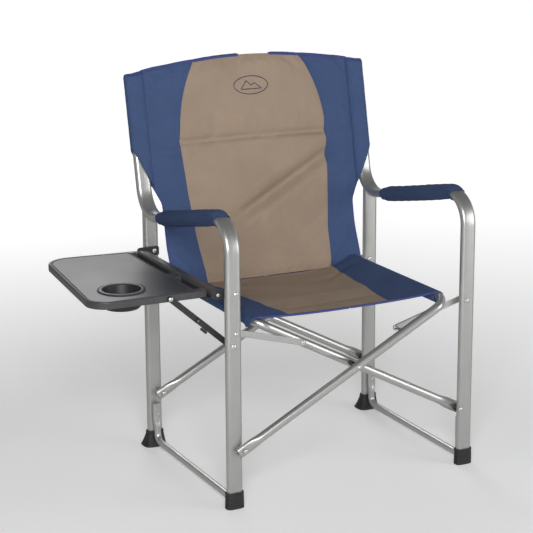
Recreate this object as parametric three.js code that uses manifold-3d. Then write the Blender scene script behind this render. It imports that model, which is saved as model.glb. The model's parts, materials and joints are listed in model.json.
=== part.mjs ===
// Folding director's chair with a drop-down side table.
//
// Millimetres, +Z up, +Y from the front of the chair to the back, and the table on the -X side.
// The chair is laid out about its own middle: x = 0 halfway between the side frames, y = 0 on the
// centre of the front legs and z = 0 on the floor. At the end it is shifted so that the origin is
// the bottom centre of the whole object's box.

import * as THREE from 'three';
import { mergeVertices } from 'three/addons/utils/BufferGeometryUtils.js';
import Module from 'manifold-3d';

const wasm = await Module();
wasm.setup();

const degrees = THREE.MathUtils.degToRad;

// ---------------------------------------------------------------------------------------------
// Driving dimensions
// ---------------------------------------------------------------------------------------------

// Side frames: one flat-oval tube bent into front leg, arm and back post, plus a rear leg.
const LEG_X = 292;             // leg centre to the middle of the chair
const LEG_DEPTH = 443;         // front leg centre to rear leg centre
const TUBE_WIDE = 36;          // flat-oval tube, across the chair
const TUBE_THICK = 18;         // flat-oval tube, front to back on a leg
const TUBE_WALL = 1.5;
const ARM_CORNER_Z = 644;      // where the arm's centreline would meet the front leg's
const ARM_DROP = 0.2;          // the arm falls this much for each unit it runs back
const POST_CORNER_Y = 461;     // where the arm's centreline would meet the post's
const POST_LEAN = degrees(12);
const POST_TOP_Z = 870;
const FRONT_BEND = 65;
const REAR_BEND = 70;
const REAR_LEG_TOP_Z = 574;    // inside the rear bend, which then copes the rear leg's top

// Cross frames: two U-shaped round tubes that cross under the seat.
const CROSS_R = 10;            // outer radius of the tube
const CROSS_WALL = 1.5;
const CROSS_BEND = 36;
const CROSS_TAIL = 14;         // tube left beyond its lower pivot
const LOWER_PIVOT_X = 278;
const LOWER_PIVOT_Z = 136;
const RAIL_X = 228;            // seat rail axis to the middle of the chair
const RAIL_Z = 404;
const FRAME_A_STANDOFF = 0.6;  // frame A's tube in front of the legs
const FRAME_B_STANDOFF = 5;    // frame B's tube behind the legs, with a spacer between

// Links: flat bars from the legs to the cross frames.
const LINK_X = 288;
const LINK_Z = 393;
const LINK_ALONG = 448.6;      // along the cross tube from its lower pivot to the link
const LINK_WIDE = 14;
const LINK_THICK = 4;
const LINK_LEFT_Y = 9.5;       // front face of the left front link
const LINK_RIGHT_Y = 15.5;     // front face of the right front link

// Ground skids
const SKID_R = 8;
const SKID_WALL = 1.2;
const SKID_Z = 17;
const SKID_TOP_Z = 110;
const SKID_BEND = 20;

// Feet
const SOLE = 4;
const FRONT_FOOT_H = 38;
const BOOT_H = 40;
const FOOT_WALL = 2.4;
const FOOT_CORNER = 8;
const BOOT_BASE = { wide: 54, deep: 50, tall: 20, back: 8 };      // `back` of the leg's centre
const BOOT_TAPER = { side: 0.76, front: 0.66, rear: 0.34 };       // shares left at the base's top

// Fabric
const CLOTH = 2.6;             // thickness of the stretched fabric
const SEAT_FRONT_Y = 16;
const SEAT_REAR_Y = 432;
const SEAT_MIDDLE_GAP = 31;    // each seat half stops this far short of the middle
const BACK_MIDDLE_GAP = 36;    // and each back half this far
const BACK_THICK = 5;
const SLEEVE_BOTTOM_Z = 655;
const BACK_BOTTOM_Z = 430;
const BACK_TOP_Z = 876;        // at the posts
const BACK_ARCH = 30;          // the top edge rises this much more to the middle
const BACK_WAIST_X = 250;      // the back's outline narrows down to here
const BACK_WAIST_Z = 560;
const BACK_FOOT_X = 242;       // and then runs down to here
const SLEEVE_SEAM = 4;         // from a post's sleeve to the back panel
const PAD_WIDE = 42;
const PAD_TALL = 34;
const PAD_SAG = 2;             // the pad hangs this much lower than the tube it wraps
const PAD_CORNER = 10;
const PAD_REAR_Y = 358;

// Side table
const HINGE_X = -320;
const HINGE_Z = 478;
const TABLE_TOP_Z = 485;
const TRAY_THICK = 16.5;
const TRAY_FRONT_Y = 36;
const TRAY_OUTLINE = [[-331.3, TRAY_FRONT_Y], [-331.3, 434], [-556, 455], [-597, TRAY_FRONT_Y + 4]];
const TRAY_CORNER_R = [6, 6, 58, 46];
const TRAY_RIM = 7;            // width of the raised rim around the top sheet
const TRAY_WALL = 5;           // thickness of the tray's sides and top
const SHEET_RECESS = 1.5;
const SLOTS_Y = [[55, 160], [200, 412]];
const SLOT_X = -345;
const SLOT_WIDE = 17;
const CUP_X = -492;
const CUP_Y = 122;
const CUP_R = 42;
const CUP_DEPTH = 40;
const CUP_FLANGE = 9.5;        // width of the ring around the cup hole
const CUP_WALL = 2;
const CUP_ROUND = 8;           // the cup's lower edge is cut off by this much
const BAR_WIDE = 22;
const BAR_THICK = 14;
const JOURNAL_R = 4;
const BRACKET_THICK = 4;
const BRACKET_REACH = 10;      // from the hinge axis out and down to the bracket's edges
const BRACKET_RISE = 12;       // and up to its top edge
const BRACKET_CORNER_R = [8, 5, 5, 8];
const BRACKET_RIVET_Z = HINGE_Z + 2;
const BRACE_TABLE_X = -418;
const BRACE_TABLE_Z = 476;
const BRACE_LEG_X = -294;
const BRACE_LEG_Z = 366;
const BRACE_WIDE = 13;
const BRACE_THICK = 3.5;
const LATCH_LONG = 18;
const LATCH_DROP = 6;
const LATCH_SHARE = 0.27;      // of the way from the brace's middle joint to the leg

// Fasteners
const SHANK_R = 3;
const HOLE_R = 3.4;
const HEAD_R = 5.5;
const HEAD_H = 2.2;
const GAP = 0.3;               // left between pieces that touch

// ---------------------------------------------------------------------------------------------
// Values worked out from them
// ---------------------------------------------------------------------------------------------

const LEG_FACE = TUBE_THICK / 2;
const POST_CORNER_Z = ARM_CORNER_Z - ARM_DROP * POST_CORNER_Y;
const FRAME_A_Y = -(LEG_FACE + FRAME_A_STANDOFF + CROSS_R);
const FRAME_B_Y = LEG_FACE + FRAME_B_STANDOFF + CROSS_R;
const CROSS_ANGLE = Math.atan2(RAIL_Z - LOWER_PIVOT_Z, RAIL_X + LOWER_PIVOT_X);
const CROSSING_Z = LOWER_PIVOT_Z + LOWER_PIVOT_X * Math.tan(CROSS_ANGLE);
const LINK_END_X = LINK_ALONG * Math.cos(CROSS_ANGLE) - LOWER_PIVOT_X;
const LINK_END_Z = LOWER_PIVOT_Z + LINK_ALONG * Math.sin(CROSS_ANGLE);
const SKID_FRONT_Y = LEG_FACE + GAP + SKID_R;
const ROWS = { front: 0, rear: LEG_DEPTH };
const SIDES = { left: -1, right: 1 };

// ---------------------------------------------------------------------------------------------
// Materials
// ---------------------------------------------------------------------------------------------

const material = (color, roughness, metalness) =>
  new THREE.MeshStandardMaterial({ color, roughness, metalness });

const silverTube = () => material(0xb4b3af, 0.38, 0.9);
const rivetSteel = () => material(0xc8c8c6, 0.3, 1);
const blackPlastic = () => material(0x1c1c1e, 0.6, 0);
const darkPlastic = () => material(0x2e2e31, 0.55, 0);
const tableSheet = () => material(0x8a888b, 0.45, 0.1);
const blueFabric = () => material(0x2f4672, 0.9, 0);
const tanFabric = () => material(0x86705c, 0.95, 0);

// ---------------------------------------------------------------------------------------------
// Outlines: arrays of 2-D points, counter-clockwise
// ---------------------------------------------------------------------------------------------

function circle(radius, sides, cx = 0, cy = 0) {
  return Array.from({ length: sides }, (_, i) => {
    const a = (2 * Math.PI * i) / sides;
    return new THREE.Vector2(cx + radius * Math.cos(a), cy + radius * Math.sin(a));
  });
}

// A polygon whose corners are rounded, each with its own radius.
function roundedPolygon(corners, radii, steps = 5) {
  const points = corners.map(([x, y]) => new THREE.Vector2(x, y));
  return points.flatMap((corner, i) => {
    const before = points[(i + points.length - 1) % points.length];
    const after = points[(i + 1) % points.length];
    const inward = corner.clone().sub(before).normalize();
    const outward = after.clone().sub(corner).normalize();
    const turn = Math.acos(inward.dot(outward));
    const start = corner.clone().addScaledVector(inward, -radii[i] * Math.tan(turn / 2));
    const toCentre = outward.clone().addScaledVector(inward, -inward.dot(outward)).normalize();
    const centre = start.clone().addScaledVector(toCentre, radii[i]);
    return Array.from({ length: steps + 1 }, (_, k) => {
      const a = (turn * k) / steps;
      return centre.clone()
        .addScaledVector(toCentre, -radii[i] * Math.cos(a))
        .addScaledVector(inward, radii[i] * Math.sin(a));
    });
  });
}

function roundedBox(x0, y0, x1, y1, radius, steps = 5) {
  return roundedPolygon([[x0, y0], [x1, y0], [x1, y1], [x0, y1]], [radius, radius, radius, radius], steps);
}

// The flat-oval section of the main tubes, grown or shrunk by an offset.
function flatOval(offset = 0, steps = 4) {
  const halfFlat = (TUBE_WIDE - TUBE_THICK) / 2;
  const radius = TUBE_THICK / 2 + offset;
  return [0, 1].flatMap((end) => Array.from({ length: steps + 1 }, (_, k) => {
    const a = Math.PI * (end - 0.5 + k / steps);
    return new THREE.Vector2((end ? -halfFlat : halfFlat) + radius * Math.cos(a), radius * Math.sin(a));
  }));
}

function shapeOf(outline, ...holes) {
  const shape = new THREE.Shape(outline);
  shape.holes = holes.map((hole) => new THREE.Path(hole));
  return shape;
}

// ---------------------------------------------------------------------------------------------
// Solids
// ---------------------------------------------------------------------------------------------

// A path in one plane, straight between bends. `across` is the plane's normal: the section's x
// runs along it.
class BentPath extends THREE.Curve {
  constructor(stations, across) {
    super();
    this.stations = stations;
    this.across = across;
  }

  getPoint(t) {
    return this.stations[Math.round(t * (this.stations.length - 1))].point.clone();
  }

  getSpacedPoints() {
    return this.stations.map((s) => s.point.clone());
  }

  computeFrenetFrames() {
    const tangents = this.stations.map((s) => s.tangent.clone());
    const normals = tangents.map(() => this.across.clone());
    const binormals = tangents.map((t) => t.clone().cross(this.across));
    return { tangents, normals, binormals };
  }
}

// Stations along a line of corners, each corner rounded to its radius.
function bend(corners, radii, steps = 6) {
  const points = corners.map((c) => new THREE.Vector3(...c));
  const along = (i) => points[i + 1].clone().sub(points[i]).normalize();
  const stations = [{ point: points[0], tangent: along(0) }];
  for (let i = 1; i < points.length - 1; i += 1) {
    const inward = along(i - 1);
    const outward = along(i);
    const radius = radii[i - 1];
    const turn = Math.acos(inward.dot(outward));
    const start = points[i].clone().addScaledVector(inward, -radius * Math.tan(turn / 2));
    const toCentre = outward.clone().addScaledVector(inward, -inward.dot(outward)).normalize();
    for (let k = 0; k <= steps; k += 1) {
      const a = (turn * k) / steps;
      stations.push({
        point: start.clone()
          .addScaledVector(toCentre, radius * (1 - Math.cos(a)))
          .addScaledVector(inward, radius * Math.sin(a)),
        tangent: inward.clone().multiplyScalar(Math.cos(a)).addScaledVector(toCentre, Math.sin(a)),
      });
    }
  }
  stations.push({ point: points.at(-1), tangent: along(points.length - 2) });
  return stations;
}

function sweep(shape, stations, across) {
  return new THREE.ExtrudeGeometry(shape, {
    steps: stations.length - 1,
    extrudePath: new BentPath(stations, across),
  });
}

// A shape drawn in x and y, standing up from z0 to z1.
function standing(shape, z0, z1) {
  return new THREE.ExtrudeGeometry(shape, { depth: z1 - z0, bevelEnabled: false }).translate(0, 0, z0);
}

// A shape drawn in x and z as seen from the front, running back from y0 to y1.
function lying(shape, y0, y1) {
  return new THREE.ExtrudeGeometry(shape, { depth: y1 - y0, bevelEnabled: false })
    .rotateX(Math.PI / 2)
    .translate(0, y1, 0);
}

function toSolid(geometry) {
  const bare = geometry.clone();
  bare.deleteAttribute('normal');
  bare.deleteAttribute('uv');
  const welded = mergeVertices(bare, 1e-4);
  return new wasm.Manifold(new wasm.Mesh({
    numProp: 3,
    vertProperties: new Float32Array(welded.attributes.position.array),
    triVerts: new Uint32Array(welded.index.array),
  }));
}

function toGeometry(solid) {
  const mesh = solid.getMesh();
  const geometry = new THREE.BufferGeometry();
  geometry.setAttribute('position', new THREE.BufferAttribute(mesh.vertProperties, 3));
  geometry.setIndex(new THREE.BufferAttribute(mesh.triVerts, 1));
  geometry.computeVertexNormals();
  return geometry;
}

function join(...geometries) {
  return toGeometry(geometries.map(toSolid).reduce((sum, solid) => sum.add(solid)));
}

function cut(geometry, ...tools) {
  return toGeometry(tools.map(toSolid).reduce((rest, tool) => rest.subtract(tool), toSolid(geometry)));
}

// A tool for a front-to-back hole.
function drill(x, z, y0, y1, radius = HOLE_R) {
  return new THREE.CylinderGeometry(radius, radius, y1 - y0, 10).translate(x, (y0 + y1) / 2, z);
}

function latheOf(profile, sides = 10) {
  return new THREE.LatheGeometry(profile.map(([r, y]) => new THREE.Vector2(r, y)), sides);
}

// A front-to-back rivet, headed at both ends of its grip, with an optional wider shoulder.
function rivet(y0, y1, shoulder) {
  const profile = [[0, y0 - HEAD_H], [HEAD_R * 0.6, y0 - HEAD_H], [HEAD_R, y0], [SHANK_R, y0]];
  if (shoulder) {
    profile.push([SHANK_R, shoulder.y0], [shoulder.radius, shoulder.y0]);
    profile.push([shoulder.radius, shoulder.y1], [SHANK_R, shoulder.y1]);
  }
  profile.push([SHANK_R, y1], [HEAD_R, y1], [HEAD_R * 0.6, y1 + HEAD_H], [0, y1 + HEAD_H]);
  return latheOf(profile);
}

function ring(innerRadius, outerRadius, y0, y1) {
  return lying(shapeOf(circle(outerRadius, 14), circle(innerRadius, 12).reverse()), y0, y1);
}

// A flat bar with round ends and a hole at each end, between two points seen from the front.
function flatBar(from, to, width, y0, y1) {
  const length = Math.hypot(to[0] - from[0], to[1] - from[1]);
  const half = width / 2;
  const outline = roundedBox(-half, -half, length + half, half, half * 0.98, 4);
  const holes = [circle(HOLE_R, 10), circle(HOLE_R, 10, length)].map((hole) => hole.reverse());
  return lying(shapeOf(outline, ...holes), y0, y1)
    .rotateY(-Math.atan2(to[1] - from[1], to[0] - from[0]))
    .translate(from[0], 0, from[1]);
}

// ---------------------------------------------------------------------------------------------
// Building the scene
// ---------------------------------------------------------------------------------------------

const chair = new THREE.Group();

function piece(name, geometry, surface, parent = chair) {
  const mesh = new THREE.Mesh(geometry, surface);
  mesh.name = name;
  parent.add(mesh);
  return mesh;
}

const ALONG_X = new THREE.Vector3(1, 0, 0);

// ---- Side frames ------------------------------------------------------------------------------

function sideTubeCorners() {
  const postRun = (POST_TOP_Z - POST_CORNER_Z) * Math.tan(POST_LEAN);
  return [
    [0, 0, SOLE + GAP],
    [0, 0, ARM_CORNER_Z],
    [0, POST_CORNER_Y, POST_CORNER_Z],
    [0, POST_CORNER_Y + postRun, POST_TOP_Z],
  ];
}

const SIDE_BEND_STEPS = 5;
const sideStations = bend(sideTubeCorners(), [FRONT_BEND, REAR_BEND], SIDE_BEND_STEPS);

function skidStations() {
  const rearY = LEG_DEPTH - SKID_FRONT_Y;
  const corners = [
    [0, SKID_FRONT_Y, SKID_TOP_Z],
    [0, SKID_FRONT_Y, SKID_Z],
    [0, rearY, SKID_Z],
    [0, rearY, SKID_TOP_Z],
  ];
  return bend(corners, [SKID_BEND, SKID_BEND], 4);
}

// Tube holes on a leg: [x offset from the leg's centre towards the outside, height].
const inward = (x) => x - LEG_X;
const legHoles = [[inward(LINK_X), LINK_Z], [inward(LOWER_PIVOT_X), LOWER_PIVOT_Z]];
const braceHole = [inward(-BRACE_LEG_X), BRACE_LEG_Z];
const bracketHole = [inward(LINK_X), BRACKET_RIVET_Z];

function sideTube(sign, holes) {
  const tube = sweep(shapeOf(flatOval(), flatOval(-TUBE_WALL, 3).reverse()), sideStations, ALONG_X);
  return cut(tube, ...holes.map(([x, z]) => drill(sign * x, z, -LEG_FACE - 1, LEG_FACE + 1)));
}

// The rear leg's top is coped to sit under the rear bend of the side tube.
function rearLeg(sign, holes) {
  const leg = standing(shapeOf(flatOval(), flatOval(-TUBE_WALL, 3).reverse()), SOLE + GAP, REAR_LEG_TOP_Z);
  const cope = sweep(shapeOf(flatOval(GAP)), sideStations, ALONG_X).translate(0, -LEG_DEPTH, 0);
  return cut(leg, cope, ...holes.map(([x, z]) => drill(sign * x, z, -LEG_FACE - 1, LEG_FACE + 1)));
}

function skid() {
  const section = shapeOf(circle(SKID_R, 10), circle(SKID_R - SKID_WALL, 8).reverse());
  return sweep(section, skidStations(), ALONG_X);
}

// Room for the skid where a foot wraps the leg.
function skidRoom(legY) {
  return sweep(shapeOf(circle(SKID_R + GAP, 12)), skidStations(), ALONG_X).translate(0, -legY, 0);
}

function legPocket(height) {
  return standing(shapeOf(flatOval(GAP)), SOLE, height + 1);
}

function footCollar(height) {
  const halfWide = TUBE_WIDE / 2 + FOOT_WALL;
  const halfThick = TUBE_THICK / 2 + FOOT_WALL;
  const outline = roundedBox(-halfWide, -halfThick, halfWide, halfThick, FOOT_CORNER, 3);
  return standing(shapeOf(outline), 0, height);
}

function frontFoot() {
  return cut(footCollar(FRONT_FOOT_H), legPocket(FRONT_FOOT_H), skidRoom(0));
}

// The rear boot flares out to a wide base, mostly behind the leg.
function rearBoot() {
  const { wide, deep, tall, back } = BOOT_BASE;
  const base = new THREE.BoxGeometry(wide, deep, tall).translate(0, back, tall / 2);
  const points = base.attributes.position;
  for (let i = 0; i < points.count; i += 1) {
    if (points.getZ(i) > tall / 2) {
      const y = points.getY(i);
      points.setX(i, points.getX(i) * BOOT_TAPER.side);
      points.setY(i, y * (y > 0 ? BOOT_TAPER.rear : BOOT_TAPER.front));
    }
  }
  return cut(join(footCollar(BOOT_H), base), legPocket(BOOT_H), skidRoom(LEG_DEPTH));
}

function armPad() {
  const overBend = sideStations.slice(SIDE_BEND_STEPS, SIDE_BEND_STEPS + 2);
  const rear = { point: new THREE.Vector3(0, PAD_REAR_Y, ARM_CORNER_Z - ARM_DROP * PAD_REAR_Y) };
  rear.tangent = overBend.at(-1).tangent;
  const half = PAD_WIDE / 2;
  const outline = roundedBox(-half, -PAD_TALL / 2 - PAD_SAG, half, PAD_TALL / 2 - PAD_SAG, PAD_CORNER, 3);
  return sweep(shapeOf(outline, flatOval(GAP).reverse()), [...overBend, rear], ALONG_X);
}

function postGroup(side) {
  const group = new THREE.Group();
  group.position.set(SIDES[side] * LEG_X, POST_CORNER_Y, POST_CORNER_Z);
  group.rotation.x = -POST_LEAN;
  chair.add(group);
  return group;
}

const alongPost = (z) => (z - POST_CORNER_Z) / Math.cos(POST_LEAN);

function postPlug() {
  const end = alongPost(POST_TOP_Z) + GAP;
  const stem = standing(shapeOf(flatOval(-TUBE_WALL - GAP, 3)), end - 20, end + 1);
  return join(stem, standing(shapeOf(flatOval()), end, end + 2));
}

function backSleeve() {
  const section = shapeOf(flatOval(GAP + CLOTH), flatOval(GAP).reverse());
  return standing(section, alongPost(SLEEVE_BOTTOM_Z), alongPost(BACK_TOP_Z));
}

for (const [side, sign] of Object.entries(SIDES)) {
  const isTableSide = side === 'left';
  const frontHoles = isTableSide ? [...legHoles, braceHole, bracketHole] : legHoles;
  const rearHoles = isTableSide ? [...legHoles, bracketHole] : legHoles;
  piece(`side_tube_${side}`, sideTube(sign, frontHoles), silverTube()).position.x = sign * LEG_X;
  piece(`rear_leg_${side}`, rearLeg(sign, rearHoles), silverTube()).position.set(sign * LEG_X, LEG_DEPTH, 0);
  piece(`skid_${side}`, skid(), silverTube()).position.x = sign * LEG_X;
  piece(`front_foot_${side}`, frontFoot(), blackPlastic()).position.x = sign * LEG_X;
  piece(`rear_foot_${side}`, rearBoot(), blackPlastic()).position.set(sign * LEG_X, LEG_DEPTH, 0);
  piece(`arm_pad_${side}`, armPad(), blueFabric()).position.x = sign * LEG_X;
  piece(`post_plug_${side}`, postPlug(), blackPlastic(), postGroup(side));
  piece(`back_sleeve_${side}`, backSleeve(), blueFabric(), postGroup(side));
}

// ---- Cross frames -----------------------------------------------------------------------------

// A U-shaped tube: two legs rising from the lower pivots, joined by the seat rail at the top.
// `sign` is the side its lower pivots are on.
function crossFrame(sign, y) {
  const rise = new THREE.Vector3(-sign * Math.cos(CROSS_ANGLE), 0, Math.sin(CROSS_ANGLE));
  const tail = new THREE.Vector3(sign * LOWER_PIVOT_X, y, LOWER_PIVOT_Z).addScaledVector(rise, -CROSS_TAIL);
  const rearTail = tail.clone().setY(y + LEG_DEPTH);
  const corners = [
    tail.toArray(),
    [-sign * RAIL_X, y, RAIL_Z],
    [-sign * RAIL_X, y + LEG_DEPTH, RAIL_Z],
    rearTail.toArray(),
  ];
  const across = rise.clone().cross(new THREE.Vector3(0, 1, 0));
  const section = shapeOf(circle(CROSS_R, 12), circle(CROSS_R - CROSS_WALL, 8).reverse());
  const tube = sweep(section, bend(corners, [CROSS_BEND, CROSS_BEND], 5), across);
  const reach = CROSS_R + 1;
  const holes = Object.values(ROWS).flatMap((row) => [
    drill(sign * LOWER_PIVOT_X, LOWER_PIVOT_Z, y + row - reach, y + row + reach),
    drill(0, CROSSING_Z, y + row - reach, y + row + reach),
  ]);
  return cut(tube, ...holes);
}

piece('cross_frame_a', crossFrame(-1, FRAME_A_Y), silverTube());
piece('cross_frame_b', crossFrame(1, FRAME_B_Y), silverTube());

const LINK_Y = { left: LINK_LEFT_Y, right: LINK_RIGHT_Y };

// The left links lie in front of frame B's tube and the right links behind frame A's, which they
// reach with a long shoulder. Either pin stops at the tube's surface.
function linkPinProfile(side, y) {
  const linkBack = y + LINK_THICK;
  if (side === 'left') {
    return [[0, y - HEAD_H], [HEAD_R, y - HEAD_H], [HEAD_R, y - GAP], [SHANK_R, y - GAP],
      [SHANK_R, linkBack + GAP / 2], [0, linkBack + GAP / 2]];
  }
  const tubeBack = FRAME_A_Y + CROSS_R + GAP;
  return [[0, tubeBack], [HEAD_R, tubeBack], [HEAD_R, y - GAP], [SHANK_R, y - GAP],
    [SHANK_R, linkBack + GAP], [HEAD_R, linkBack + GAP], [HEAD_R * 0.6, linkBack + HEAD_H],
    [0, linkBack + HEAD_H]];
}

for (const [row, rowY] of Object.entries(ROWS)) {
  // Crossing: a rivet through both tubes and a spacer between them.
  const crossingGrip = [FRAME_A_Y - CROSS_R - GAP, FRAME_B_Y + CROSS_R + GAP];
  piece(`crossing_rivet_${row}`, rivet(...crossingGrip), rivetSteel()).position.set(0, rowY, CROSSING_Z);
  const spacerRun = [FRAME_A_Y + CROSS_R + GAP, FRAME_B_Y - CROSS_R - GAP];
  piece(`crossing_spacer_${row}`, ring(HOLE_R, 6, ...spacerRun), blackPlastic())
    .position.set(0, rowY, CROSSING_Z);

  // Lower pivots: frame A in front of the left legs, frame B behind the right legs on spacers.
  piece(`lower_rivet_left_${row}`, rivet(FRAME_A_Y - CROSS_R - GAP, LEG_FACE + GAP), rivetSteel())
    .position.set(-LOWER_PIVOT_X, rowY, LOWER_PIVOT_Z);
  piece(`lower_rivet_right_${row}`, rivet(-LEG_FACE - GAP, FRAME_B_Y + CROSS_R + GAP), rivetSteel())
    .position.set(LOWER_PIVOT_X, rowY, LOWER_PIVOT_Z);
  piece(`lower_spacer_${row}`, ring(HOLE_R, 8, LEG_FACE + GAP, FRAME_B_Y - CROSS_R - GAP), blackPlastic())
    .position.set(LOWER_PIVOT_X, rowY, LOWER_PIVOT_Z);

  for (const [side, sign] of Object.entries(SIDES)) {
    const y = LINK_Y[side];
    const [atLeg, atTube] = [[sign * LINK_X, LINK_Z], [sign * LINK_END_X, LINK_END_Z]];
    const link = flatBar(atLeg, atTube, LINK_WIDE, y, y + LINK_THICK);
    piece(`link_${side}_${row}`, link, silverTube()).position.y = rowY;

    // At the leg a rivet holds the link, with a shoulder where the link stands off the leg.
    const shoulder = side === 'right' && { radius: HEAD_R, y0: LEG_FACE + GAP, y1: y - GAP };
    piece(`link_rivet_${side}_${row}`, rivet(-LEG_FACE - GAP, y + LINK_THICK + GAP, shoulder), rivetSteel())
      .position.set(sign * LINK_X, rowY, LINK_Z);

    // At the cross tube the link carries a short pin that ends at the tube's surface.
    piece(`link_pin_${side}_${row}`, latheOf(linkPinProfile(side, y)), rivetSteel())
      .position.set(sign * LINK_END_X, rowY, LINK_END_Z);
  }
}

// ---- Seat -------------------------------------------------------------------------------------

// Half of the stretched seat: a sleeve around its rail where the rail is straight, and a flat
// panel from the rail towards the middle. Drawn for the left half, about the rail's axis.
function seatHalf(sleeveY0, sleeveY1) {
  const inner = CROSS_R + 2 * GAP;
  const outer = inner + CLOTH;
  const reach = RAIL_X - SEAT_MIDDLE_GAP;
  const sleeve = lying(shapeOf(circle(outer, 18), circle(inner, 18).reverse()), sleeveY0, sleeveY1);
  const panel = lying(shapeOf([[0, inner], [reach, inner], [reach, outer], [0, outer]]
    .map((p) => new THREE.Vector2(...p))), SEAT_FRONT_Y, SEAT_REAR_Y);
  return join(sleeve, panel);
}

const leftRail = [FRAME_B_Y + CROSS_BEND, SEAT_REAR_Y - 1];
const rightRail = [SEAT_FRONT_Y + 1, FRAME_A_Y + LEG_DEPTH - CROSS_BEND];
piece('seat_left', seatHalf(...leftRail), tanFabric()).position.set(-RAIL_X, 0, RAIL_Z);

// The same shape with left and right exchanged, its faces still pointing out.
function mirrored(geometry) {
  const flipped = geometry.clone().scale(-1, 1, 1);
  const order = Array.from(flipped.index.array);
  for (let i = 0; i < order.length; i += 3) {
    [order[i], order[i + 1]] = [order[i + 1], order[i]];
  }
  flipped.setIndex(order);
  flipped.computeVertexNormals();
  return flipped;
}

piece('seat_right', mirrored(seatHalf(...rightRail)), tanFabric()).position.set(RAIL_X, 0, RAIL_Z);

// ---- Back -------------------------------------------------------------------------------------

// Each half of the back starts just inside its post's sleeve. The upper part stays flat when the
// chair folds, the lower part is loose cloth.
const SLEEVE_HALF = TUBE_WIDE / 2 + GAP + CLOTH;
const PANEL_START = SLEEVE_HALF + SLEEVE_SEAM;
const PANEL_END = LEG_X - BACK_MIDDLE_GAP;
const ARCH_STEPS = 5;

function backPanel(sign, corners) {
  const outline = corners.map(([x, z]) => new THREE.Vector2(-sign * x, alongPost(z)));
  const ordered = sign < 0 ? outline : outline.reverse();
  return lying(shapeOf(ordered), -BACK_THICK / 2, BACK_THICK / 2);
}

// The arched top edge from the middle out to the post, as [distance from the post, height].
function topArch() {
  return Array.from({ length: ARCH_STEPS + 1 }, (_, i) => {
    const x = THREE.MathUtils.lerp(PANEL_END, PANEL_START, i / ARCH_STEPS);
    return [x, BACK_TOP_Z + BACK_ARCH * (1 - ((LEG_X - x) / LEG_X) ** 2)];
  });
}

for (const [side, sign] of Object.entries(SIDES)) {
  const seamZ = SLEEVE_BOTTOM_Z - 2 * GAP;
  const upper = [[PANEL_START, SLEEVE_BOTTOM_Z], [PANEL_END, SLEEVE_BOTTOM_Z], ...topArch()];
  const lower = [[LEG_X - BACK_FOOT_X, BACK_BOTTOM_Z], [PANEL_END, BACK_BOTTOM_Z], [PANEL_END, seamZ],
    [PANEL_START, seamZ], [LEG_X - BACK_WAIST_X, BACK_WAIST_Z]];
  piece(`back_panel_${side}`, backPanel(sign, upper), tanFabric(), postGroup(side));
  piece(`back_lower_${side}`, backPanel(sign, lower), tanFabric(), postGroup(side));
}

// ---- Side table -------------------------------------------------------------------------------

const BAR_Y0 = LEG_FACE + BRACKET_THICK + 3 * GAP;
const BAR_Y1 = LEG_DEPTH - BAR_Y0;

// The tray's outline, moved in by `inset` and stopped short of the slots when `panel` is set.
function trayOutline(inset, panel) {
  const middle = [(TRAY_OUTLINE[0][0] + TRAY_OUTLINE[2][0]) / 2, (TRAY_FRONT_Y + LEG_DEPTH) / 2];
  const innerX = SLOT_X - SLOT_WIDE / 2 - TRAY_WALL;
  const corners = TRAY_OUTLINE.map(([x, y]) => [
    panel && x > middle[0] ? innerX : x - Math.sign(x - middle[0]) * inset,
    y - Math.sign(y - middle[1]) * inset,
  ]);
  return roundedPolygon(corners, TRAY_CORNER_R.map((r) => Math.max(r - inset, 4)), 6);
}

const cupHole = () => circle(CUP_R + 2 * GAP, 24, CUP_X, CUP_Y).reverse();

function slots() {
  return SLOTS_Y.map(([y0, y1]) =>
    roundedBox(SLOT_X - SLOT_WIDE / 2, y0, SLOT_X + SLOT_WIDE / 2, y1, 3, 2).reverse());
}

function tray() {
  const bottom = TABLE_TOP_Z - TRAY_THICK;
  const body = standing(shapeOf(trayOutline(0), cupHole(), ...slots()), bottom, TABLE_TOP_Z);
  const recess = standing(shapeOf(trayOutline(TRAY_RIM, true)), TABLE_TOP_Z - SHEET_RECESS, TABLE_TOP_Z + 1);
  const underside = standing(shapeOf(trayOutline(TRAY_WALL, true)), bottom - 1, TABLE_TOP_Z - TRAY_WALL);
  return cut(body, recess, underside);
}

function topSheet() {
  const sheet = shapeOf(trayOutline(TRAY_RIM + GAP, true), cupHole());
  return standing(sheet, TABLE_TOP_Z - SHEET_RECESS + GAP, TABLE_TOP_Z - GAP);
}

function cupHolder() {
  const flange = CUP_R + CUP_FLANGE;
  const inner = CUP_R - CUP_WALL;
  const profile = [
    [0, -CUP_DEPTH], [CUP_R - CUP_ROUND, -CUP_DEPTH], [CUP_R, CUP_ROUND - CUP_WALL - CUP_DEPTH],
    [CUP_R, GAP], [flange, GAP], [flange, CUP_WALL / 2], [flange - CUP_WALL, CUP_WALL],
    [CUP_R + 1, CUP_WALL], [inner, 0], [inner, CUP_ROUND - CUP_DEPTH],
    [inner - CUP_ROUND, CUP_WALL - CUP_DEPTH], [0, CUP_WALL - CUP_DEPTH],
  ];
  return latheOf(profile, 20).rotateX(Math.PI / 2);
}

function hingeBar() {
  const section = roundedBox(-BAR_WIDE / 2, -BAR_THICK / 2, BAR_WIDE / 2, BAR_THICK / 2, 4, 3);
  const bar = lying(shapeOf(section), BAR_Y0, BAR_Y1);
  const journal = lying(shapeOf(circle(JOURNAL_R, 12)), LEG_FACE + GAP, LEG_DEPTH - LEG_FACE - GAP);
  return join(bar, journal);
}

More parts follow.
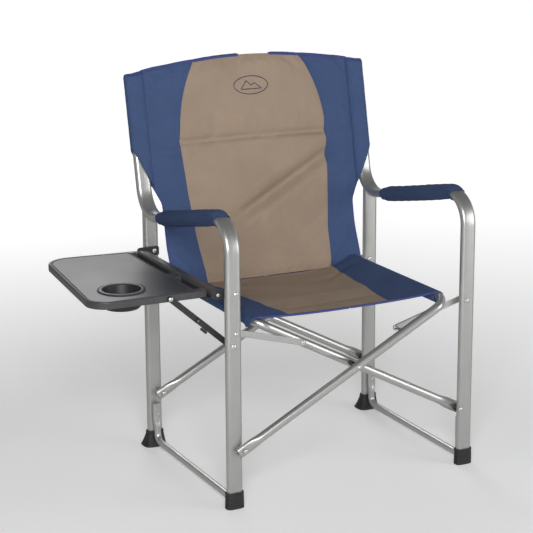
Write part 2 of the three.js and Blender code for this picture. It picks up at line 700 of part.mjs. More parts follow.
// A plate riveted to a leg, with a bearing hole for the hinge bar's journal. Its outer corners are
// round enough for the tray's edge to swing past them.
function hingeBracket(y0) {
  const rivetX = -LINK_X - HINGE_X;
  const inner = rivetX + BRACKET_RISE;
  const bore = circle(JOURNAL_R + 2 * GAP, 14).reverse();
  const rivetHole = circle(HOLE_R, 12, rivetX, BRACKET_RIVET_Z - HINGE_Z).reverse();
  const corners = [[-BRACKET_REACH, -BRACKET_REACH], [inner, -BRACKET_REACH],
    [inner, BRACKET_RISE], [-BRACKET_REACH, BRACKET_RISE]];
  const outline = roundedPolygon(corners, BRACKET_CORNER_R, 4);
  return lying(shapeOf(outline, bore, rivetHole), y0, y0 + BRACKET_THICK);
}

piece('table_tray', tray(), darkPlastic());
piece('table_sheet', topSheet(), tableSheet());
piece('cup_holder', cupHolder(), blackPlastic()).position.set(CUP_X, CUP_Y, TABLE_TOP_Z);
piece('hinge_bar', hingeBar(), darkPlastic()).position.set(HINGE_X, 0, HINGE_Z);

const BRACKETS = {
  front: { y: LEG_FACE + GAP, grip: [-LEG_FACE - GAP, LEG_FACE + BRACKET_THICK + 2 * GAP] },
  rear: {
    y: LEG_DEPTH - LEG_FACE - GAP - BRACKET_THICK,
    grip: [LEG_DEPTH - LEG_FACE - BRACKET_THICK - 2 * GAP, LEG_DEPTH + LEG_FACE + GAP],
  },
};

for (const [row, { y, grip }] of Object.entries(BRACKETS)) {
  piece(`hinge_bracket_${row}`, hingeBracket(y), blackPlastic()).position.set(HINGE_X, 0, HINGE_Z);
  piece(`bracket_rivet_${row}`, rivet(...grip), rivetSteel()).position.set(-LINK_X, 0, BRACKET_RIVET_Z);
}

// Folding brace: two bars of equal length, straight when the table is up.
const BRACE_MID = [(BRACE_TABLE_X + BRACE_LEG_X) / 2, (BRACE_TABLE_Z + BRACE_LEG_Z) / 2];
const UPPER_Y1 = TRAY_FRONT_Y - 2 * GAP;
const UPPER_Y0 = UPPER_Y1 - BRACE_THICK;
const LOWER_Y1 = UPPER_Y0 - GAP;
const LOWER_Y0 = LOWER_Y1 - BRACE_THICK;

piece('brace_upper', flatBar([BRACE_TABLE_X, BRACE_TABLE_Z], BRACE_MID, BRACE_WIDE, UPPER_Y0, UPPER_Y1),
  blackPlastic());
piece('brace_lower', flatBar([BRACE_LEG_X, BRACE_LEG_Z], BRACE_MID, BRACE_WIDE, LOWER_Y0, LOWER_Y1),
  blackPlastic());

// The leg rivet carries a black stand-off tube as its shoulder.
const braceShoulder = { radius: 6, y0: LEG_FACE + GAP, y1: LOWER_Y0 - GAP };
piece('brace_leg_rivet', rivet(-LEG_FACE - GAP, LOWER_Y1 + 0.1, braceShoulder), rivetSteel())
  .position.set(BRACE_LEG_X, 0, BRACE_LEG_Z);

// The pin in the tray's front rim rides with the tray. The middle pin rides with the upper bar and
// stops short of the lower bar, where the linkage is open.
const PIN_HEAD_R = HEAD_R * 0.8;
const tablePinProfile = [
  [0, UPPER_Y0 - HEAD_H], [PIN_HEAD_R, UPPER_Y0 - HEAD_H], [HEAD_R, UPPER_Y0 - GAP],
  [SHANK_R, UPPER_Y0 - GAP], [SHANK_R, UPPER_Y1 + GAP], [0, UPPER_Y1 + GAP],
];
piece('brace_table_rivet', latheOf(tablePinProfile), rivetSteel())
  .position.set(BRACE_TABLE_X, 0, BRACE_TABLE_Z);
const midPinProfile = [
  [0, UPPER_Y0 + GAP], [SHANK_R, UPPER_Y0 + GAP], [SHANK_R, UPPER_Y1 + GAP / 3],
  [PIN_HEAD_R, UPPER_Y1 + GAP / 3], [PIN_HEAD_R, UPPER_Y1 + GAP], [0, UPPER_Y1 + GAP],
];
piece('brace_mid_rivet', latheOf(midPinProfile), rivetSteel()).position.set(BRACE_MID[0], 0, BRACE_MID[1]);

// The latch is a small tab under the lower bar, just below its joint.
function braceLatch() {
  const top = -BRACE_WIDE / 2 - GAP;
  const tab = roundedBox(-LATCH_LONG / 2, top - LATCH_DROP, LATCH_LONG / 2, top, 2, 2);
  return lying(shapeOf(tab), LOWER_Y0, LOWER_Y1)
    .rotateY(-Math.atan2(BRACE_LEG_Z - BRACE_MID[1], BRACE_LEG_X - BRACE_MID[0]));
}

piece('brace_latch', braceLatch(), blackPlastic()).position.set(
  THREE.MathUtils.lerp(BRACE_MID[0], BRACE_LEG_X, LATCH_SHARE),
  0,
  THREE.MathUtils.lerp(BRACE_MID[1], BRACE_LEG_Z, LATCH_SHARE),
);

// ---- Origin -----------------------------------------------------------------------------------

const box = new THREE.Box3().setFromObject(chair, true);
const middle = box.getCenter(new THREE.Vector3());
chair.position.set(-middle.x, -middle.y, -box.min.z);

export default chair;
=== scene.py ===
"""A folding director's chair with a side table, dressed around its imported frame.

Everything is in metres, +Z up, with the front of the chair towards -Y. The chair is symmetric about
the plane x = MIDDLE_X, apart from its crossing tubes and the table on the -X side.
"""

import functools
import json
import math

import bmesh
import bpy
import numpy as np
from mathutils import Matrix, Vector


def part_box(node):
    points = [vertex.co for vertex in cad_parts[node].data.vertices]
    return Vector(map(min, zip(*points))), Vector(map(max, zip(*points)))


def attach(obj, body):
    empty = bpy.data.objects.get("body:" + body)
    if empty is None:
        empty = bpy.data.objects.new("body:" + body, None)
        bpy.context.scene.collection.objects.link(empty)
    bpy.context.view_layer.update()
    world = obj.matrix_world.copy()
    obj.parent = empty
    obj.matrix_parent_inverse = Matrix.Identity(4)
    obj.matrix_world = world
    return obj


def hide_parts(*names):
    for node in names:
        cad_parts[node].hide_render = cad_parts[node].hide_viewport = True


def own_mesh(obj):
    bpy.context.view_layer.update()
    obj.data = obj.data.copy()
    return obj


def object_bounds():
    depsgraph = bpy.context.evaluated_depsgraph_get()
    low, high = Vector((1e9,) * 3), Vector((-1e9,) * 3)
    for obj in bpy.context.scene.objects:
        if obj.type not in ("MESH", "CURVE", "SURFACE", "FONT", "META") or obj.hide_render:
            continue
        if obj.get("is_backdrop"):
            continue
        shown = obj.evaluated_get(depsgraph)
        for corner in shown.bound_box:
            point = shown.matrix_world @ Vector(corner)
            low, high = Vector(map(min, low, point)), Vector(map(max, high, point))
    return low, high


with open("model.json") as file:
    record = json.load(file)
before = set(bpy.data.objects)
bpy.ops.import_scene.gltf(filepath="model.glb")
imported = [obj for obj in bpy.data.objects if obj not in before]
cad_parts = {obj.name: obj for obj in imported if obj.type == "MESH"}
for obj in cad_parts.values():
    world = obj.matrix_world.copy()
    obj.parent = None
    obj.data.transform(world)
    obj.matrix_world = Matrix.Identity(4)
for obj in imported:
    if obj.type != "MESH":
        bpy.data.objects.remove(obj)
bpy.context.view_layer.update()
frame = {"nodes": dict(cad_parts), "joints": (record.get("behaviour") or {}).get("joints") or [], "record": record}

MM = 0.001

# ---- Places, read from the frame ----------------------------------------------------------------


def joint(name):
    return next(j for j in frame["joints"] if j["name"] == name)


def pivot(name):
    return Vector(joint(name)["pos_m"])


def middle_of(node):
    low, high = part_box(node)
    return (low + high) / 2


def size_of(node):
    low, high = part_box(node)
    return high - low


SIDES = {"left": -1, "right": 1}
TUBE_WIDE, TUBE_THICK = size_of("rear_leg_left").xy
LEFT_LEG = middle_of("side_tube_left").x
RIGHT_LEG = middle_of("side_tube_right").x
MIDDLE_X = (LEFT_LEG + RIGHT_LEG) / 2
LEG_X = (RIGHT_LEG - LEFT_LEG) / 2
FRONT_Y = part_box("side_tube_left")[0].y + TUBE_THICK / 2
REAR_Y = middle_of("rear_leg_left").y
LEG_DEPTH = REAR_Y - FRONT_Y
SOLE_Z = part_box("side_tube_left")[0].z

POST_CORNER = pivot("back_left_turn")            # where the arm's line meets the post's
POST_UP = Vector(joint("back_left_turn")["axis"])
POST_OUT = Vector((0, -POST_UP.z, POST_UP.y))    # square to the back, towards the front
SLEEVE_X = MIDDLE_X - POST_CORNER.x              # where a back half is sewn to its sleeve
POST_TOP_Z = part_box("side_tube_left")[1].z
SLEEVE_LOW_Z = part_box("back_panel_left")[0].z
BACK_TOP_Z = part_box("back_panel_left")[1].z

RAIL_X = MIDDLE_X - pivot("seat_left_turn").x
RAIL_Z = pivot("seat_left_turn").z
CROSS_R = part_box("cross_frame_a")[1].z - RAIL_Z
LOWER_PIVOT = pivot("frame_fold")
FRAME_Y = {"a": middle_of("cross_frame_a").y, "b": middle_of("cross_frame_b").y}
SEAT_FRONT_Y, SEAT_REAR_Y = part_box("seat_left")[0].y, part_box("seat_left")[1].y
SEAT_DEPTH = SEAT_REAR_Y - SEAT_FRONT_Y
HINGE = pivot("table_hinge")

# ---- Sizes of what the frame leaves open --------------------------------------------------------

TUBE_WALL = 1.5 * MM
SKID_WALL = 1.2 * MM
FRONT_BEND = 65 * MM
REAR_BEND = 70 * MM
CROSS_BEND = 36 * MM
CROSS_TAIL = 14 * MM
SKID_BEND = 20 * MM
ARM_DROP = 0.2             # the arm falls this much for each metre it runs back
LINK_WIDE = 14 * MM
BRACE_WIDE = 13 * MM
RIVET_HOLE_R = 3.4 * MM

BACK_LOW_Z = 0.388         # the back's lower edge, behind the seat
BACK_CORNER_Z = 0.877      # its top corners, at the posts
BACK_THICK = 4.4 * MM
BACK_EDGE_X = 0.2735       # its side edges, tucked over the sleeves
BACK_WAIST_X = 0.249
BACK_FOOT_X = 0.238
CUT_Z = {"left": 0.580, "right": 0.545}   # above the waist each side is cut away on a slant
CUT_SLOPE = 2.0            # rise of that slant for each metre outwards
HEAD_SEAM_Z = 0.715        # the padded head panel ends here
HEAD_PUFF = 16 * MM
TAN_TOP_Z = 0.898
TAN_WIDEST_Z = 0.70
TAN_HALF = {"widest": 0.191, "top": 0.142, "bottom": 0.163}
BINDING_GAP = {"left": 0.018, "right": 0.060}   # the top binding starts this far from the middle
BADGE_Z = 0.832
BADGE_HALF = (44 * MM, 21 * MM)
BADGE_STITCH = (2.8 * MM, 0.3 * MM, 2.2 * MM)   # length, gap and width
SLEEVE_PAD = 3.4 * MM      # from the post's tube to the outside of its sleeve

SEAT_SAG = {"front": 7 * MM, "rear": 33 * MM}
SEAT_THICK = 2.4 * MM
SEAT_LOOP_R = CROSS_R + 2.6 * MM
SEAT_TAN = {"left": (-0.150, -0.172), "right": (0.098, 0.172)}   # at the front and at the rear

# ---- Materials ----------------------------------------------------------------------------------


class Surface:
    """A procedural material, with short calls to add nodes and join them."""

    def __init__(self, name):
        self.material = bpy.data.materials.new(name)
        self.material.use_nodes = True
        self.tree = self.material.node_tree
        self.shader = self.tree.nodes["Principled BSDF"]

    def node(self, kind, inputs=(), **settings):
        made = self.tree.nodes.new("ShaderNode" + kind)
        for key, value in settings.items():
            setattr(made, key, value)
        for socket, value in dict(inputs).items():
            self.put(made.inputs[socket], value)
        return made

    def put(self, socket, value):
        if isinstance(value, bpy.types.NodeSocket):
            self.tree.links.new(value, socket)
        else:
            socket.default_value = value

    def place(self, kind="Object", stretch=(1, 1, 1)):
        coordinates = self.node("TexCoord").outputs[kind]
        return self.node("Mapping", {"Vector": coordinates, "Scale": stretch}).outputs[0]

    def noise(self, where, scale, detail=3.0, rough=0.5):
        inputs = {"Vector": where, "Scale": scale, "Detail": detail, "Roughness": rough}
        return self.node("TexNoise", inputs).outputs["Fac"]

    def math(self, kind, a, b=0.0):
        return self.node("Math", {0: a, 1: b}, operation=kind).outputs[0]

    def weighted(self, *terms):
        """The sum of values, each given with its weight."""
        parts = [self.math("MULTIPLY", value, weight) for value, weight in terms]
        return functools.reduce(lambda a, b: self.math("ADD", a, b), parts)

    def wave(self, value, turns):
        return self.math("SINE", self.math("MULTIPLY", value, turns))

    def spread(self, value, low, high, start=0.0, end=1.0):
        """Maps value from start..end to low..high."""
        inputs = {"Value": value, "From Min": start, "From Max": end, "To Min": low, "To Max": high}
        return self.node("MapRange", inputs).outputs[0]

    def shade(self, factor, dark, light):
        return self.blend(factor, (*dark, 1), (*light, 1))

    def blend(self, factor, first, second):
        return self.node("Mix", {0: factor, 6: first, 7: second}, data_type="RGBA").outputs[2]

    def edges(self, start, end, most=1.0):
        """Rises to `most` where the mesh has sharp outer edges."""
        return self.spread(self.node("NewGeometry").outputs["Pointiness"], 0.0, most, start, end)

    def bump(self, height, strength, distance, under=None):
        inputs = {"Height": height, "Strength": strength, "Distance": distance}
        if under is not None:
            inputs["Normal"] = under
        return self.node("Bump", inputs).outputs[0]

    def finish(self, **inputs):
        for name, value in inputs.items():
            self.put(self.shader.inputs[name.replace("_", " ")], value)
        return self.material


def scaled(colour, share):
    return tuple(channel * share for channel in colour)


def aluminium(name, colour, roughness):
    """Satin anodised tube: fine lines drawn along it, soft clouds and small scuffs."""
    s = Surface(name)
    lines = s.noise(s.place("UV", (4, 900, 1)), 1.0, 2.0)
    clouds = s.noise(s.place(), 22.0, 4.0)
    scuffs = s.spread(s.noise(s.place("Object", (1, 1, 0.4)), 240.0, 5.0, 0.7), 0.0, 1.0, 0.62, 0.80)
    tone = s.weighted((lines, 0.45), (clouds, 0.55))
    base = s.shade(tone, scaled(colour, 0.88), scaled(colour, 1.08))
    base = s.blend(s.math("MULTIPLY", scuffs, 0.35), base, (*scaled(colour, 0.72), 1))
    drawn = s.spread(lines, roughness - 0.06, roughness + 0.08)
    rough = s.math("ADD", drawn, s.math("MULTIPLY", scuffs, 0.12))
    return s.finish(Base_Color=base, Metallic=0.82, Roughness=rough,
                    Normal=s.bump(lines, 0.10, 0.15 * MM))


def steel(name):
    """Bright rivets, turned, and lighter on their rims."""
    s = Surface(name)
    grain = s.noise(s.place(), 900.0, 2.0)
    base = s.shade(s.edges(0.48, 0.56), (0.48, 0.48, 0.47), (0.86, 0.86, 0.84))
    return s.finish(Base_Color=base, Metallic=0.9, Roughness=s.spread(grain, 0.2, 0.36),
                    Normal=s.bump(grain, 0.08, 0.05 * MM))


def plastic(name, colour, roughness, grain_scale=1400.0, wear_and_highlight_strength=0.5):
    """Moulded plastic: a fine pebble grain, paler and smoother where edges rub, the paler edges also a painted
    highlight.
    """
    s = Surface(name)
    grain = s.noise(s.place(), grain_scale, 2.0)
    clouds = s.noise(s.place(), 35.0, 3.0)
    # Wear and painted highlight: sharp edges are paled, both for rubbing and for the light line along lit edges.
    wear_and_highlight = s.math("MULTIPLY", s.edges(0.50, 0.60, wear_and_highlight_strength), clouds)
    base = s.shade(clouds, scaled(colour, 0.82), scaled(colour, 1.15))
    base = s.blend(wear_and_highlight, base, (*scaled(colour, 2.6), 1))
    moulded = s.spread(grain, roughness - 0.05, roughness + 0.1)
    rough = s.math("SUBTRACT", moulded, s.math("MULTIPLY", wear_and_highlight, 0.2))
    return s.finish(Base_Color=base, Roughness=rough, Normal=s.bump(grain, 0.22, 0.12 * MM))


def table_surface(name):
    """The table's sheet: silver grey with a fleck, and painted shade that darkens it towards the chair."""
    s = Surface(name)
    fleck = s.noise(s.place(), 1500.0, 2.0, 0.6)
    clouds = s.noise(s.place(), 12.0, 3.0)
    low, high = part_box("table_sheet")
    across = s.node("SeparateXYZ", {0: s.place()}).outputs[0]
    # Painted shade: the sheet's colour runs from light to dark towards the hinge side, beside the chair.
    shade = s.spread(across, 1.0, 0.0, low.x + 80 * MM, high.x)
    base = s.shade(shade, (0.050, 0.050, 0.053), (0.125, 0.125, 0.13))
    base = s.blend(s.spread(fleck, 0.0, 0.5, 0.45, 0.75), base, (0.20, 0.20, 0.205, 1))
    return s.finish(Base_Color=base, Metallic=0.25, Roughness=s.spread(clouds, 0.34, 0.46),
                    Normal=s.bump(fleck, 0.25, 0.1 * MM))


def fabric(name, colour, pitch=1.5 * MM, rib=0.0, sheen=0.12, kind="UV"):
    """Plain-woven canvas: crossing threads, yarn-to-yarn colour, soft blotches and a faint nap."""
    s = Surface(name)
    where = s.place(kind)
    turns = 2 * math.pi / pitch
    split = s.node("SeparateXYZ", {0: where}).outputs
    up = split[1] if kind == "UV" else s.math("ADD", split[0], split[2])
    side = split[0] if kind == "UV" else split[1]
    weave = s.math("MULTIPLY", s.wave(side, turns), s.wave(up, turns))
    ribs = s.wave(side, turns / 3)
    yarn = s.noise(s.place(kind, (1, 0.12, 1)), 1300.0, 2.0, 0.7)
    cross_yarn = s.noise(s.place(kind, (0.12, 1, 1)), 1300.0, 2.0, 0.7)
    blotch = s.noise(where, 9.0, 4.0, 0.6)
    tone = s.weighted((yarn, 0.3), (cross_yarn, 0.25), (blotch, 0.35), (weave, 0.06), (ribs, rib))
    base = s.shade(s.spread(tone, 0.0, 1.0, 0.2, 0.75), scaled(colour, 0.74), scaled(colour, 1.24))
    normal = s.bump(s.noise(where, 60.0, 4.0, 0.6), 0.18, 1.2 * MM)
    normal = s.bump(s.math("ADD", weave, ribs), 0.35, 0.22 * MM, normal)
    return s.finish(Base_Color=base, Roughness=s.spread(yarn, 0.82, 0.97), Sheen_Weight=sheen,
                    Sheen_Roughness=0.5, Sheen_Tint=base, Specular_IOR_Level=0.25, Normal=normal)


def thread(name, colour):
    """Sewing thread: a tight twist seen as fine shading."""
    s = Surface(name)
    twist = s.noise(s.place(), 2600.0, 1.0)
    base = s.shade(twist, scaled(colour, 0.7), scaled(colour, 1.25))
    return s.finish(Base_Color=base, Roughness=0.7, Normal=s.bump(twist, 0.3, 0.1 * MM))


BLUE = (0.058, 0.095, 0.205)
TAN = (0.365, 0.277, 0.208)
TUBE = aluminium("anodised_tube", (0.56, 0.56, 0.54), 0.34)
CROSS_TUBE = aluminium("cross_tube", (0.60, 0.60, 0.58), 0.30)
STEEL = steel("rivet_steel")
RUBBER = plastic("foot_rubber", (0.018, 0.018, 0.019), 0.62, 900.0, 0.35)
BLACK = plastic("black_plastic", (0.020, 0.020, 0.022), 0.48)
BLACK_STEEL = plastic("black_coated_steel", (0.024, 0.024, 0.026), 0.38, 2200.0, 0.8)
TRAY = plastic("tray_plastic", (0.052, 0.052, 0.056), 0.36, 1100.0, 0.7)
SHEET = table_surface("table_surface")
BLUE_CLOTH = fabric("blue_canvas", BLUE)
TAN_CLOTH = fabric("tan_canvas", TAN, 1.3 * MM, rib=0.08)
BLUE_PAD = fabric("blue_canvas_pad", scaled(BLUE, 0.85), kind="Object")
SLEEVE_CLOTH = fabric("blue_canvas_sleeve", BLUE, kind="Object")
BINDING = fabric("binding_tape", (0.062, 0.080, 0.240), 0.9 * MM, sheen=0.2, kind="Object")
BLUE_THREAD = thread("blue_thread", (0.075, 0.095, 0.20))
TAN_THREAD = thread("tan_thread", (0.42, 0.29, 0.17))
BADGE_THREAD = thread("badge_thread", (0.05, 0.055, 0.14))

# ---- Mesh helpers -------------------------------------------------------------------------------


def mesh_piece(name, points, faces, surfaces, smooth_angle=40.0):
    """A new object from points and faces, smooth up to an angle between faces."""
    mesh = bpy.data.meshes.new(name)
    mesh.from_pydata([tuple(p) for p in points], [], faces)
    for surface in surfaces if isinstance(surfaces, (list, tuple)) else [surfaces]:
        mesh.materials.append(surface)
    return place_mesh(name, mesh, smooth_angle)


def place_mesh(name, mesh, smooth_angle):
    mesh.polygons.foreach_set("use_smooth", [True] * len(mesh.polygons))
    mesh.set_sharp_from_angle(angle=math.radians(smooth_angle))
    mesh.validate()
    piece = bpy.data.objects.new(name, mesh)
    bpy.context.scene.collection.objects.link(piece)
    return piece


def turn_out(mesh):
    """Turns every face of a closed mesh outwards."""
    work = bmesh.new()
    work.from_mesh(mesh)
    bmesh.ops.recalc_face_normals(work, faces=work.faces)
    work.to_mesh(mesh)
    work.free()


def dress(piece, body, slot, *nodes):
    """Rides the piece on its body and lets it stand for its CAD nodes; `slot` is not used."""
    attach(piece, body)
    if nodes:
        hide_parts(*nodes)
    return piece


def body_of_node(node):
    bodies = frame["record"]["behaviour"]["bodies"]
    return next(body for body, members in bodies.items() if node in members)


def flat_oval(wide, thick, steps=10):
    half_flat = (wide - thick) / 2
    points = []
    for end in (1, -1):
        for k in range(steps + 1):
            a = math.pi * (k / steps - 0.5)
            points.append((end * (half_flat + thick / 2 * math.cos(a)), end * thick / 2 * math.sin(a)))
    return points


def circle(radius, sides=28, centre=(0, 0)):
    turn = 2 * math.pi / sides
    return [(centre[0] + radius * math.cos(turn * k), centre[1] + radius * math.sin(turn * k))
            for k in range(sides)]


def superellipse(half_x, half_y, power, count=48):
    points = []
    for k in range(count):
        a = 2 * math.pi * k / count
        c, s = math.cos(a), math.sin(a)
        points.append((half_x * math.copysign(abs(c) ** (2 / power), c),
                       half_y * math.copysign(abs(s) ** (2 / power), s)))
    return points


def ring_faces(count, sides, closed=False):
    """Faces between `count` rings of points; a closed run joins the last ring to the first."""
    faces = []
    for i in range(count if closed else count - 1):
        j = (i + 1) % count
        for k in range(sides):
            m = (k + 1) % sides
            faces.append((i * sides + k, i * sides + m, j * sides + m, j * sides + k))
    return faces


def solid_faces(count, sides, first=0, inward=False):
    """Faces of a solid of `count` rings with a cap at each end, its points counted from `first`."""
    last = (count - 1) * sides
    caps = [tuple(reversed(range(sides))), tuple(range(last, last + sides))]
    faces = [tuple(first + v for v in face) for face in [*ring_faces(count, sides), *caps]]
    return [(face[0], *face[:0:-1]) for face in faces] if inward else faces


def corner_arc(corner, before, after, radius, steps):
    """Points and directions along the arc that rounds a corner between two directions."""
    turn = before.angle(after)
    inward = (after - before * before.dot(after)).normalized()
    start = corner - before * radius * math.tan(turn / 2)
    arc = []
    for k in range(steps + 1):
        a = turn * k / steps
        point = start + inward * radius * (1 - math.cos(a)) + before * radius * math.sin(a)
        arc.append((point, before * math.cos(a) + inward * math.sin(a)))
    return arc


def bent_path(corners, radii, bend_steps=12, straight_step=14 * MM):
    """Stations (point, direction) along a line of corners, each rounded to its radius."""
    points = [Vector(c) for c in corners]
    heading = [(b - a).normalized() for a, b in zip(points, points[1:])]
    stations = [(points[0], heading[0])]

    def run_to(goal, direction):
        start = stations[-1][0]
        count = max(1, round((goal - start).length / straight_step))
        stations.extend((start.lerp(goal, k / count), direction) for k in range(1, count + 1))

    for corner, radius, before, after in zip(points[1:-1], radii, heading, heading[1:]):
        arc = corner_arc(corner, before, after, radius, bend_steps)
        run_to(arc[0][0], before)
        stations.extend(arc[1:])
    run_to(points[-1], heading[-1])
    return stations


def rounded(corners, radii, steps=14):
    """A polygon with each corner rounded to its own radius."""
    points = [Vector(c) for c in corners]
    outline = []
    for i, (corner, radius) in enumerate(zip(points, radii)):
        before = (corner - points[i - 1]).normalized()
        after = (points[(i + 1) % len(points)] - corner).normalized()
        outline.extend(point for point, _ in corner_arc(corner, before, after, radius, steps))
    return outline


def rounded_box(x0, y0, x1, y1, radius, steps=5):
    radii = radius if isinstance(radius, list) else [radius] * 4
    return rounded([(x0, y0), (x1, y0), (x1, y1), (x0, y1)], radii, steps)


def smoothstep(value, low, high):
    t = np.clip((value - low) / (high - low), 0, 1)
    return t * t * (3 - 2 * t)


def evenly(_from_start, _from_end):
    return 1.0, 1.0


def pressed_ends(reach, fade, wider, thinner):
    """The shape of a tube whose ends are pressed flat as far as `reach`, fading out after it."""
    def shape(from_start, from_end):
        flat = 1 - smoothstep(min(from_start, from_end), reach, reach + fade)
        return 1 + wider * flat, 1 - thinner * flat

    return shape


def swept_tube(name, stations, across, section, surface, wall=TUBE_WALL, shape=evenly):
    """A hollow tube, open at both ends. `across` is the normal of the plane it bends in; `shape`
    gives the section's width and thickness shares from the distances to either end."""
    across = Vector(across).normalized()
    runs = [0.0]
    for (a, _), (b, _) in zip(stations, stations[1:]):
        runs.append(runs[-1] + (b - a).length)
    half = [max(abs(p[axis]) for p in section) for axis in (0, 1)]
    inner = [(x * (1 - wall / half[0]), y * (1 - wall / half[1])) for x, y in section]

    def ring(index, outline):
        point, direction = stations[index]
        wide, thick = shape(runs[index], runs[-1] - runs[index])
        side = direction.cross(across)
        return [point + across * (x * wide) + side * (y * thick) for x, y in outline]

    order = list(range(len(stations)))
    walk = [(i, section) for i in order] + [(i, inner) for i in reversed(order)]
    points = [point for i, outline in walk for point in ring(i, outline)]
    sides, count = len(section), len(walk)
    step = 2 * sum(half) * math.pi / 2 / sides
    uvs = []
    for (i, _), (j, _) in zip(walk, [*walk[1:], walk[0]]):
        for k in range(sides):
            uvs.extend([(runs[i], k * step), (runs[i], (k + 1) * step),
                        (runs[j], (k + 1) * step), (runs[j], k * step)])
    piece = mesh_piece(name, points, ring_faces(count, sides, closed=True), surface)
    layer = piece.data.uv_layers.new(name="along")
    layer.data.foreach_set("uv", np.array(uvs, np.float32).ravel())
    return piece


def lathe(name, centre, profile, surface, axis="Y", sides=36):
    """A closed turned solid. The profile runs from axis to axis as (radius, height)."""
    points, faces, rings = [], [], []
    for radius, height in profile:
        if radius < 1e-6:
            rings.append([len(points)] * sides)
            points.append((0, 0, height))
        else:
            rings.append(list(range(len(points), len(points) + sides)))
            points.extend((x, y, height) for x, y in circle(radius, sides))
    for low, high in zip(rings, rings[1:]):
        for k in range(sides):
            m = (k + 1) % sides
            faces.append(tuple(dict.fromkeys([low[k], low[m], high[m], high[k]])))
    if axis == "Y":
        points = [(x, z, -y) for x, y, z in points]
    return mesh_piece(name, [centre + Vector(p) for p in points], faces, surface, 50.0)


def bush_profile(radius, half, rim):
    """A turned cylinder with bevelled rims."""
    return [(0, -half), (radius - rim, -half), (radius, -half + rim), (radius, half - rim),
            (radius - rim, half), (0, half)]


def plate(name, outline, holes, thick, bevel, surface, place):
    """A flat plate with rounded edges and holes, drawn in x and y and moved by place(x, y, z),
    where z runs from 0 to its thickness."""
    curve = bpy.data.curves.new(name, "CURVE")
    curve.dimensions = "2D"
    curve.fill_mode = "BOTH"
    curve.extrude = thick / 2 - bevel
    curve.bevel_depth = bevel
    curve.bevel_resolution = 2
    curve.offset = -bevel
    for loop in [outline, *holes]:
        spline = curve.splines.new("POLY")
        spline.points.add(len(loop) - 1)
        for point, (x, y) in zip(spline.points, loop):
            point.co = (x, y, 0, 1)
        spline.use_cyclic_u = True
    drawn = bpy.data.objects.new(name, curve)
    bpy.context.scene.collection.objects.link(drawn)
    graph = bpy.context.evaluated_depsgraph_get()
    mesh = bpy.data.meshes.new_from_object(drawn.evaluated_get(graph))
    bpy.data.objects.remove(drawn)
    bpy.data.curves.remove(curve)
    work = bmesh.new()
    work.from_mesh(mesh)
    bmesh.ops.remove_doubles(work, verts=work.verts, dist=1e-6)
    for vertex in work.verts:
        vertex.co = place(vertex.co.x, vertex.co.y, vertex.co.z + thick / 2)
    bmesh.ops.recalc_face_normals(work, faces=work.faces)
    work.to_mesh(mesh)
    work.free()
    mesh.name = name
    mesh.materials.clear()
    mesh.materials.append(surface)
    piece = place_mesh(name, mesh, 35.0)
    piece.modifiers.new("even_shading", "WEIGHTED_NORMAL").keep_sharp = True
    return piece


def upright_plate(name, outline, holes, y, thick, bevel, surface, body, slot, *nodes):
    """A plate drawn in x and z, with its front face at y."""
    piece = plate(name, outline, holes, thick, bevel, surface,
                  lambda x, z, depth: Vector((x, y + thick - depth, z)))
    dress(piece, body, slot, *nodes)


def lying_plate(name, outline, holes, z, thick, bevel, surface, slot, *nodes):
    """A plate of the table, drawn in x and y, with its underside at z."""
    piece = plate(name, outline, holes, thick, bevel, surface, lambda x, y, up: Vector((x, y, z + up)))
    dress(piece, "table", slot, *nodes)


# ---- Side frames --------------------------------------------------------------------------------

SKID_RIVET_Z = {"low": 63 * MM, "high": 84 * MM}


def side_x(sign):
    return MIDDLE_X + sign * LEG_X


def arm_corner():
    """Height where the arm's line meets the front leg's."""
    return POST_CORNER.z + ARM_DROP * (POST_CORNER.y - FRONT_Y)


def side_path(x):
    post_run = (POST_TOP_Z - POST_CORNER.z) / POST_UP.z
    corner = Vector((x, POST_CORNER.y, POST_CORNER.z))
    corners = [(x, FRONT_Y, SOLE_Z), (x, FRONT_Y, arm_corner()), corner, corner + POST_UP * post_run]
    return bent_path(corners, [FRONT_BEND, REAR_BEND], 18)


def make_side_frame(side, sign):
    x = side_x(sign)
    body = f"{side}_side"
    oval = flat_oval(TUBE_WIDE, TUBE_THICK)
    tube = swept_tube(f"tube_{side}", side_path(x), (1, 0, 0), oval, TUBE)
    dress(tube, body, "tube_silver", f"side_tube_{side}")

    leg_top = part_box(f"rear_leg_{side}")[1].z
    leg_path = bent_path([(x, REAR_Y, SOLE_Z), (x, REAR_Y, leg_top)], [])
    leg = swept_tube(f"back_leg_{side}", leg_path, (1, 0, 0), oval, TUBE)
    dress(leg, body, "tube_silver", f"rear_leg_{side}")

    low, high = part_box(f"skid_{side}")
    radius = (high.x - low.x) / 2
    ends = {"front": low.y + radius, "rear": high.y - radius}
    axis_z = low.z + radius
    corners = [(x, ends["front"], high.z), (x, ends["front"], axis_z),
               (x, ends["rear"], axis_z), (x, ends["rear"], high.z)]
    path = bent_path(corners, [SKID_BEND, SKID_BEND], 10, 6 * MM)
    shape = pressed_ends(42 * MM, 14 * MM, 0.30, 0.42)
    skid = swept_tube(f"ground_{side}", path, (1, 0, 0), circle(radius), CROSS_TUBE, SKID_WALL, shape)
    dress(skid, body, "tube_silver", f"skid_{side}")
    for row, facing in (("front", 1), ("rear", -1)):
        for place, z in SKID_RIVET_Z.items():
            centre = Vector((x, ends[row] + facing * radius * 0.58, z))
            make_skid_rivet(f"skid_rivet_{side}_{row}_{place}", body, centre, facing)


